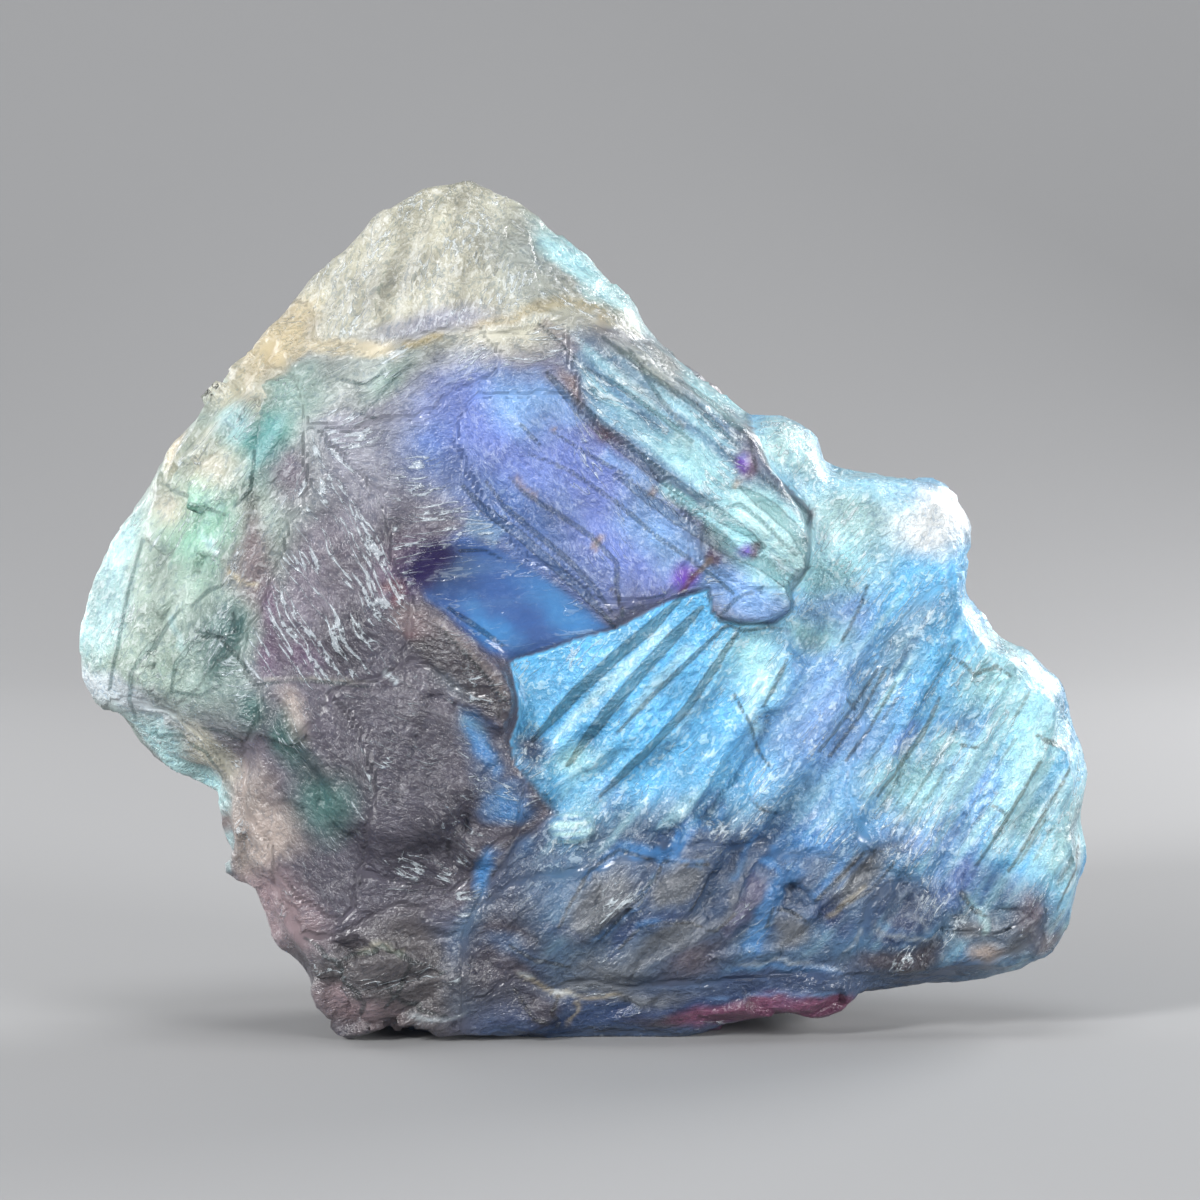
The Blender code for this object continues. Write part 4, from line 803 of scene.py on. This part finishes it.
def new_group(name, kind, inputs, outputs):
    """A node group with its named sockets, and its input and output nodes."""
    tree = bpy.data.node_groups.new(name, kind)
    for label, socket_type, value in inputs:
        socket = tree.interface.new_socket(label, in_out="INPUT", socket_type=socket_type)
        if value is not None:
            socket.default_value = value
    for label, socket_type in outputs:
        tree.interface.new_socket(label, in_out="OUTPUT", socket_type=socket_type)
    return tree, tree.nodes.new("NodeGroupInput"), tree.nodes.new("NodeGroupOutput")


def blend(tree, mask, below, above):
    """One colour over another."""
    node = tree.nodes.new("ShaderNodeMix")
    node.data_type = "RGBA"
    wire(tree, node.inputs["Factor"], mask)
    wire(tree, node.inputs["A"], below)
    wire(tree, node.inputs["B"], above)
    return node.outputs["Result"]


def rgba(rgb):
    return (*rgb, 1.0)


# The relief: Geometry Nodes that cut the ledges, raise the fine growth steps, break the facets and etch the skin.

RELIEF_INPUTS = [
    ("Geometry", "NodeSocketGeometry", None),
    ("Ledge Height", "NodeSocketFloat", 0.5),
    ("Step Width", "NodeSocketFloat", 1.0),
    ("Step Length", "NodeSocketFloat", 6.0),
    ("Step Height", "NodeSocketFloat", 0.2),
    ("Facet Size", "NodeSocketFloat", 3.0),
    ("Facet Tilt", "NodeSocketFloat", 0.5),
    ("Etch Size", "NodeSocketFloat", 1.3),
    ("Etch Depth", "NodeSocketFloat", 0.2),
    ("Seed", "NodeSocketInt", 4),
    ("Material", "NodeSocketMaterial", None),
]


def skin_value(tree, name):
    """A value stored on the skin, for Geometry Nodes."""
    node = tree.nodes.new("GeometryNodeInputNamedAttribute")
    node.data_type = "FLOAT"
    node.inputs["Name"].default_value = name
    return node.outputs["Attribute"]


def growth_steps(tree, place, given):
    """Long flat steps that run with the streaks: their random height, and the gap to the nearest wall in mm."""
    wobble = scaled(tree, noise(tree, place, 0.18, output="Color"), 0.7)
    line = along_lie(tree, vector_calc(tree, "ADD", place, wobble), skin_value(tree, "lie"))
    x, _, z = parts_of(tree, line)
    across = calc(tree, "DIVIDE", z, given.outputs["Step Width"])
    row = calc(tree, "FLOOR", across)
    part = calc(tree, "SUBTRACT", across, row)
    upper = calc(tree, "GREATER_THAN", part, 0.5)
    other_row = total(tree, row, upper, upper, -1.0)

    def step_height(row):
        shift = tree.nodes.new("ShaderNodeTexWhiteNoise")
        shift.noise_dimensions = "1D"
        wire(tree, shift.inputs["W"], calc(tree, "ADD", row, given.outputs["Seed"]))
        slot = total(tree, calc(tree, "DIVIDE", x, given.outputs["Step Length"]), shift.outputs["Value"])
        height = tree.nodes.new("ShaderNodeTexWhiteNoise")
        height.noise_dimensions = "3D"
        cell = vector_of(tree, row, calc(tree, "FLOOR", slot), given.outputs["Seed"])
        wire(tree, height.inputs["Vector"], cell)
        return height.outputs["Value"]

    height, other = step_height(row), step_height(other_row)
    climb = calc(tree, "ABSOLUTE", calc(tree, "SUBTRACT", height, other))
    gap = calc(tree, "MINIMUM", part, calc(tree, "SUBTRACT", 1.0, part))
    gap = product(tree, gap, given.outputs["Step Width"])
    shown = product(tree, climb, skin_value(tree, "steps"))
    gap = total(tree, gap, fade(tree, shown, 0.15, 0.55, 0.3, 0.0))
    return calc(tree, "SUBTRACT", height, 0.5), gap


def relief_group():
    tree, given, out = new_group(
        "Fluorite relief", "GeometryNodeTree", RELIEF_INPUTS, [("Geometry", "NodeSocketGeometry")]
    )
    tree.is_modifier = True
    place = tree.nodes.new("GeometryNodeInputPosition").outputs[0]
    normal = tree.nodes.new("GeometryNodeInputNormal").outputs[0]
    facing = vector_calc(tree, "DOT_PRODUCT", normal, (0.0, -1.0, 0.0))
    front = fade(tree, facing, 0.3, 0.8)
    face_on = fade(tree, calc(tree, "ABSOLUTE", facing), 0.3, 0.8)
    clear = fade(tree, skin_value(tree, "window"), -0.8, 0.8, 1.0, 0.3)

    step, gap = growth_steps(tree, place, given)
    steps = product(tree, step, skin_value(tree, "steps"), given.outputs["Step Height"])
    ledges = product(tree, skin_value(tree, "rise"), given.outputs["Ledge Height"])
    forward = scaled(tree, (0.0, -1.0, 0.0), product(tree, ledges, front))
    stepped = scaled(tree, normal, product(tree, steps, clear, face_on))

    etch = noise(tree, place, calc(tree, "DIVIDE", 1.0, given.outputs["Etch Size"]), 3.0, 0.55, 0.6)
    ridge = calc(tree, "ABSOLUTE", calc(tree, "SUBTRACT", etch, 0.5))
    dent = product(tree, calc(tree, "SUBTRACT", 0.1, ridge), given.outputs["Etch Depth"], 4.0)
    line = along_lie(tree, place, skin_value(tree, "lie"))
    facets = facet_height(tree, vector_calc(tree, "DIVIDE", line, FACET_STRETCH), given.outputs["Facet Size"])
    facets = product(tree, facets, given.outputs["Facet Size"], given.outputs["Facet Tilt"], skin_value(tree, "facets"))
    etched = scaled(tree, normal, product(tree, total(tree, dent, facets), clear))

    store = tree.nodes.new("GeometryNodeStoreNamedAttribute")
    store.data_type = "FLOAT"
    store.domain = "POINT"
    wire(tree, store.inputs["Geometry"], given.outputs["Geometry"])
    wire(tree, store.inputs["Name"], "step_gap")
    wire(tree, store.inputs["Value"], total(tree, gap, fade(tree, face_on, 0.2, 0.8, 0.5, 0.0)))
    move = tree.nodes.new("GeometryNodeSetPosition")
    wire(tree, move.inputs["Geometry"], store.outputs[0])
    wire(tree, move.inputs["Offset"], vector_calc(tree, "ADD", vector_calc(tree, "ADD", forward, stepped), etched))
    realize = tree.nodes.new("GeometryNodeRealizeInstances")
    finish = tree.nodes.new("GeometryNodeSetMaterial")
    wire(tree, realize.inputs[0], move.outputs[0])
    wire(tree, finish.inputs["Geometry"], realize.outputs[0])
    wire(tree, finish.inputs["Material"], given.outputs["Material"])
    wire(tree, out.inputs[0], finish.outputs[0])
    return tree


# The stone's material.


def drawn(tree, name, output="Fac"):
    """A value stored on the skin, for the material."""
    node = tree.nodes.new("ShaderNodeAttribute")
    node.attribute_name = name
    return node.outputs[output]


def etching_group():
    """Fine etching: broken ridges along the lie that carry a painted highlight, painted glint flecks, painted shade in
    the hollows and small tilted facets.
    """
    tree, given, out = new_group(
        "Fine etching", "ShaderNodeTree",
        [("Place", "NodeSocketVector", (0, 0, 0)), ("Lie", "NodeSocketFloat", 0.0),
         ("Streaks", "NodeSocketFloat", 0.5), ("Sparkle", "NodeSocketFloat", 0.5)],
        [("Streak", "NodeSocketFloat"), ("Hollow shading", "NodeSocketFloat"), ("Glints", "NodeSocketFloat"),
         ("Grain", "NodeSocketFloat"), ("Height", "NodeSocketFloat")],
    )
    bend = noise(tree, given.outputs["Place"], 0.3, 0.0)
    sway = product(tree, bend, SWAY)
    bent = vector_calc(tree, "ADD", given.outputs["Place"], vector_of(tree, sway, sway, sway))
    line = along_lie(tree, bent, given.outputs["Lie"])
    thread = noise(tree, vector_calc(tree, "DIVIDE", line, STREAK_SIZE), 1.0, 2.0, 0.6)
    grain = noise(tree, vector_calc(tree, "DIVIDE", line, GRAIN_SIZE), 1.0, 3.0, 0.62)
    ridge = calc(tree, "ABSOLUTE", calc(tree, "SUBTRACT", thread, 0.53))
    reach = total(tree, product(tree, bend, 0.10), product(tree, given.outputs["Streaks"], 0.035), -0.060)
    broken = fade(tree, grain, 0.38, 0.50)
    streak = product(tree, fade(tree, calc(tree, "SUBTRACT", reach, ridge), -0.004, 0.010), broken)
    # Painted glints: specks where the grain is high.
    glint_fleck = product(tree, fade(tree, grain, 0.555, 0.59), fade(tree, bend, 0.3, 0.5, 0.35, 1.0))
    # Painted shade: marks the low places of the grain, which the material darkens.
    hollow_shade = fade(tree, grain, 0.45, 0.39)
    glint = product(tree, fade(tree, grain, 0.48, 0.55), given.outputs["Sparkle"], 0.05)
    height = total(tree, product(tree, streak, 0.10), product(tree, grain, 0.34), glint)
    for name, value in (("Streak", streak), ("Hollow shading", hollow_shade), ("Glints", glint_fleck), ("Grain", grain), ("Height", height)):
        wire(tree, out.inputs[name], value)
    return tree


def toned(tree, mask, colour, tone):
    """A colour multiplied by a tone where the mask says."""
    node = tree.nodes.new("ShaderNodeMix")
    node.data_type = "RGBA"
    node.blend_type = "MULTIPLY"
    wire(tree, node.inputs["Factor"], mask)
    wire(tree, node.inputs["A"], colour)
    wire(tree, node.inputs["B"], tone)
    return node.outputs["Result"]


def stone_material(colours, skin):
    material = bpy.data.materials.new("fluorite")
    material.use_nodes = True
    tree = material.node_tree
    shader = tree.nodes["Principled BSDF"]
    output = tree.nodes["Material Output"]
    place = scaled(tree, tree.nodes.new("ShaderNodeTexCoord").outputs["Object"], 1 / MM)
    etching = tree.nodes.new("ShaderNodeGroup")
    etching.node_tree = etching_group()
    wire(tree, etching.inputs["Place"], place)
    wire(tree, etching.inputs["Lie"], drawn(tree, "lie"))
    wire(tree, etching.inputs["Streaks"], drawn(tree, "streaks"))
    sparkle = drawn(tree, "sparkle")
    wire(tree, etching.inputs["Sparkle"], sparkle)
    grain, streak = etching.outputs["Grain"], etching.outputs["Streak"]
    ragged = calc(tree, "SUBTRACT", grain, 0.5)
    frosted = fade(tree, drawn(tree, "window"), -0.4, 0.6, 1.0, 0.25)

    colour = drawn(tree, "tint", "Color")
    calm = drawn(tree, "calm")
    open_skin = product(tree, frosted, calm)
    # Painted shade: the low places of the etched grain are darkened.
    dark = product(tree, etching.outputs["Hollow shading"], total(tree, product(tree, sparkle, 0.2), 0.35), open_skin)
    colour = toned(tree, dark, colour, rgba(colours.hollow_shade))
    # Painted glints: specks lightened towards the painted highlight tone, strongest where the skin sparkles.
    lighter = tree.nodes.new("ShaderNodeGamma")
    wire(tree, lighter.inputs["Color"], colour)
    lighter.inputs["Gamma"].default_value = GLINT_LIFT
    bright = product(tree, etching.outputs["Glints"], total(tree, product(tree, sparkle, 0.85), 0.1), open_skin)
    colour = blend(tree, bright, colour, blend(tree, 0.16, lighter.outputs["Color"], rgba(colours.painted_highlight)))
    # The etched streaks are real ridges in the bump; their whitening here is a painted highlight.
    colour = blend(tree, product(tree, streak, open_skin, 0.5), colour, rgba(colours.painted_highlight))
    # Painted shade on the walls of the fine growth steps.
    wall = drawn(tree, "wall_shade_tint", "Color")
    step_gap = total(tree, drawn(tree, "step_gap"), product(tree, ragged, 0.3))
    colour = blend(tree, fade(tree, step_gap, 0.16, 0.06, 0.0, 0.6), colour, wall)
    # Painted shade on the ledge walls, with a few painted glints.
    ledge = total(tree, drawn(tree, "ledge"), product(tree, ragged, fade(tree, frosted, 0.0, 1.0, 0.1, 0.25)))
    shaded = blend(tree, product(tree, etching.outputs["Glints"], 0.12), wall, rgba(colours.painted_highlight))
    colour = blend(tree, fade(tree, ledge, -0.05, 0.05, 0.0, 0.85), colour, shaded)
    # Painted shade: dark lines along the edges of the ledges.
    outline = fade(tree, calc(tree, "ABSOLUTE", ledge), 0.11, 0.02, 0.0, 0.5)
    colour = toned(tree, outline, colour, rgba(colours.outline))

    roughness = total(tree, 0.14, product(tree, frosted, 0.14), product(tree, streak, -0.08))
    wire(tree, shader.inputs["Base Color"], colour)
    wire(tree, shader.inputs["Roughness"], roughness)
    wire(tree, shader.inputs["Coat Weight"], product(tree, sparkle, skin.gloss))
    bump = tree.nodes.new("ShaderNodeBump")
    bump.inputs["Strength"].default_value = 0.8
    bump.inputs["Distance"].default_value = MM
    wire(tree, bump.inputs["Height"], product(tree, etching.outputs["Height"], open_skin))
    wire(tree, shader.inputs["Normal"], bump.outputs["Normal"])
    shader.inputs["Metallic"].default_value = 0.0
    shader.inputs["IOR"].default_value = FLUORITE_IOR
    shader.inputs["Transmission Weight"].default_value = skin.clearness
    shader.inputs["Specular IOR Level"].default_value = 1.0
    shader.inputs["Coat Roughness"].default_value = 0.2
    shader.inputs["Coat IOR"].default_value = FLUORITE_IOR
    haze = tree.nodes.new("ShaderNodeVolumeAbsorption")
    haze.inputs["Color"].default_value = (0.62, 0.80, 0.95, 1.0)
    haze.inputs["Density"].default_value = skin.haze
    tree.links.new(haze.outputs["Volume"], output.inputs["Volume"])
    return material


# The stone's skin.


def merged_copy(node):
    """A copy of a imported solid's mesh with its corners merged, drawn in mm."""
    bm = bmesh.new()
    bm.from_mesh(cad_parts[node].data)
    bmesh.ops.remove_doubles(bm, verts=bm.verts, dist=1e-6)
    bmesh.ops.scale(bm, vec=Vector((1, 1, 1)) / MM, verts=bm.verts)
    mesh = bpy.data.meshes.new("skin_in_mm")
    bm.to_mesh(mesh)
    bm.free()
    return mesh


def evaluated_mesh(thing):
    """The mesh of an object with its modifiers applied."""
    bpy.context.view_layer.update()
    graph = bpy.context.evaluated_depsgraph_get()
    return bpy.data.meshes.new_from_object(thing.evaluated_get(graph), depsgraph=graph)


def finer_front(mesh):
    """Halves the spacing of the skin where it faces the front, and eases out the voxel steps."""
    bm = bmesh.new()
    bm.from_mesh(mesh)
    front = [face for face in bm.faces if face.normal.y < -0.45]
    edges = list({edge for face in front for edge in face.edges})
    bmesh.ops.subdivide_edges(bm, edges=edges, cuts=1, use_grid_fill=True)
    bmesh.ops.triangulate(bm, faces=[face for face in bm.faces if len(face.verts) > 4])
    for _ in range(2):
        bmesh.ops.smooth_vert(bm, verts=bm.verts, factor=0.5, use_axis_x=True, use_axis_y=True, use_axis_z=True)
    bm.to_mesh(mesh)
    bm.free()


def modifier_value(modifier, tree, label, value):
    """Sets a Geometry Nodes modifier's input by its socket's identifier."""
    socket = next(item for item in tree.interface.items_tree if item.name == label and item.in_out == "INPUT")
    modifier[socket.identifier] = value


def keep_inside(mesh, low, high):
    """Moves the few points that the relief pushed out of the solid's box back onto it."""
    places = np.zeros(len(mesh.vertices) * 3)
    mesh.vertices.foreach_get("co", places)
    places = np.clip(places.reshape(-1, 3), np.array(low), np.array(high))
    mesh.vertices.foreach_set("co", places.ravel())
    mesh.update()


def build_stone(colours, skin):
    low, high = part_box(STONE_NODE)
    stone = bpy.data.objects.new("fluorite_stone", merged_copy(STONE_NODE))
    bpy.context.scene.collection.objects.link(stone)
    voxels = stone.modifiers.new("voxels", "REMESH")
    voxels.mode = "VOXEL"
    voxels.voxel_size = skin.voxel
    mesh = evaluated_mesh(stone)
    stone.modifiers.clear()
    stone.data = mesh
    finer_front(mesh)
    draw_skin(mesh, colours)

    group = relief_group()
    relief = stone.modifiers.new("relief", "NODES")
    relief.node_group = group
    modifier_value(relief, group, "Ledge Height", skin.ledge_height)
    modifier_value(relief, group, "Step Width", skin.step_width)
    modifier_value(relief, group, "Step Length", skin.step_length)
    modifier_value(relief, group, "Step Height", skin.step_height)
    modifier_value(relief, group, "Facet Size", skin.facet_size)
    modifier_value(relief, group, "Facet Tilt", skin.facet_tilt)
    modifier_value(relief, group, "Etch Size", skin.etch_size)
    modifier_value(relief, group, "Etch Depth", skin.etch_depth)
    modifier_value(relief, group, "Material", stone_material(colours, skin))
    mesh = evaluated_mesh(stone)
    stone.modifiers.clear()
    stone.data = mesh
    mesh.transform(Matrix.Scale(MM, 4))
    keep_inside(mesh, low, high)
    mesh.shade_smooth()
    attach(stone, "root")
    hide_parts(STONE_NODE)


# The studio.


def backdrop(stage):
    """A pale floor that curves up into a wall behind the stone."""
    bm = bmesh.new()
    half_width, depth, bend, height, steps = 1.2, 0.62, 0.34, 1.4, 16
    profile = [(-1.2, 0.0), (depth - bend, 0.0)]
    for i in range(1, steps + 1):
        angle = math.pi / 2 * i / steps
        profile.append((depth - bend + bend * math.sin(angle), bend - bend * math.cos(angle)))
    profile.append((depth, height))
    rows = [[bm.verts.new((x, y, z)) for x in (-half_width, half_width)] for y, z in profile]
    for near, far in zip(rows, rows[1:]):
        bm.faces.new((near[0], near[1], far[1], far[0]))
    mesh = bpy.data.meshes.new("backdrop")
    bm.to_mesh(mesh)
    bm.free()
    mesh.shade_smooth()
    material = bpy.data.materials.new("backdrop_paper")
    material.use_nodes = True
    shader = material.node_tree.nodes["Principled BSDF"]
    shader.inputs["Base Color"].default_value = rgba(stage.floor_shade)
    shader.inputs["Roughness"].default_value = 0.9
    mesh.materials.append(material)
    floor = bpy.data.objects.new("backdrop", mesh)
    bpy.context.scene.collection.objects.link(floor)


def soft_light(name, place, aim, size, power, tint=(1.0, 1.0, 1.0)):
    light = bpy.data.lights.new(name, "AREA")
    light.shape = "DISK"
    light.size = size
    light.energy = power
    light.color = tint
    lamp = bpy.data.objects.new(name, light)
    lamp.location = place
    lamp.rotation_euler = (Vector(aim) - Vector(place)).to_track_quat("-Z", "Y").to_euler()
    bpy.context.scene.collection.objects.link(lamp)


def camera(stage):
    """The camera in front of the stone, a little above it, with the stone just left of the middle of the view."""
    lens = bpy.data.cameras.new("camera")
    lens.sensor_width = 36.0
    lens.lens = 125.6
    lens.clip_start = 0.01
    view = bpy.data.objects.new("camera", lens)
    aim = Vector((0.00104, 0.0, 0.0306))
    back = Vector((0.0, -math.cos(stage.elevation), math.sin(stage.elevation)))
    view.location = aim + back * stage.distance
    view.rotation_euler = (-back).to_track_quat("-Z", "Y").to_euler()
    bpy.context.scene.collection.objects.link(view)
    bpy.context.scene.camera = view


def build_stage(stage):
    backdrop(stage)
    middle = (0.0, 0.0, 0.03)
    soft_light("key", (-0.40, -0.50, 0.34), middle, 0.15, stage.key_power)
    soft_light("fill", (0.5, -0.45, 0.16), middle, 0.25, stage.key_power * 0.85)
    soft_light("low_left", (-0.42, -0.26, 0.05), middle, 0.2, stage.key_power * 0.27)
    soft_light("back_right", (0.26, 0.24, 0.16), middle, 0.22, stage.back_power)
    soft_light("back_left", (-0.28, 0.24, 0.12), middle, 0.22, stage.back_power * 0.4)
    soft_light("wall", (0.0, -0.1, 0.9), (0.0, 0.7, 0.25), 0.5, stage.wall_power)
    world = bpy.data.worlds.new("studio")
    bpy.context.scene.world = world
    world.use_nodes = True
    world.node_tree.nodes["Background"].inputs["Color"].default_value = (0.9, 0.95, 1.0, 1.0)
    world.node_tree.nodes["Background"].inputs["Strength"].default_value = 0.3
    bpy.context.scene.view_settings.view_transform = "Standard"
    bounces = bpy.context.scene.cycles
    bounces.max_bounces = 3
    bounces.diffuse_bounces = 1
    bounces.glossy_bounces = 1
    bounces.transmission_bounces = 3
    camera(stage)


class FLUORITE_OT_stone(bpy.types.Operator):
    """Build the stone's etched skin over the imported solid"""

    bl_idname = "fluorite.stone"
    bl_label = "Build stone"

    def execute(self, context):
        build_stone(context.scene.fluorite_colours, context.scene.fluorite_skin)
        return {"FINISHED"}


class FLUORITE_OT_stage(bpy.types.Operator):
    """Set up the floor, the lights and the camera"""

    bl_idname = "fluorite.stage"
    bl_label = "Set up studio"

    def execute(self, context):
        build_stage(context.scene.fluorite_stage)
        return {"FINISHED"}


class FLUORITE_PT_panel(bpy.types.Panel):
    """Lists the specimen's operators and their settings"""

    bl_idname = "FLUORITE_PT_panel"
    bl_label = "Fluorite specimen"
    bl_space_type = "VIEW_3D"
    bl_region_type = "UI"
    bl_category = "Fluorite"

    def draw(self, context):
        scene = context.scene
        for operator, settings in (
            ("fluorite.stone", (scene.fluorite_skin, scene.fluorite_colours)),
            ("fluorite.stage", (scene.fluorite_stage,)),
        ):
            self.layout.operator(operator)
            box = self.layout.box()
            for group in settings:
                for name in group.__annotations__:
                    box.prop(group, name)


CLASSES = (
    FluoriteColours,
    FluoriteSkin,
    FluoriteStage,
    FLUORITE_OT_stone,
    FLUORITE_OT_stage,
    FLUORITE_PT_panel,
)


def register():
    for cls in CLASSES:
        bpy.utils.register_class(cls)
    bpy.types.Scene.fluorite_colours = bpy.props.PointerProperty(type=FluoriteColours)
    bpy.types.Scene.fluorite_skin = bpy.props.PointerProperty(type=FluoriteSkin)
    bpy.types.Scene.fluorite_stage = bpy.props.PointerProperty(type=FluoriteStage)


def unregister():
    del bpy.types.Scene.fluorite_stage
    del bpy.types.Scene.fluorite_skin
    del bpy.types.Scene.fluorite_colours
    for cls in reversed(CLASSES):
        bpy.utils.unregister_class(cls)


def main():
    register()
    bpy.ops.fluorite.stone()
    bpy.ops.fluorite.stage()


if __name__ == "__main__":
    main()
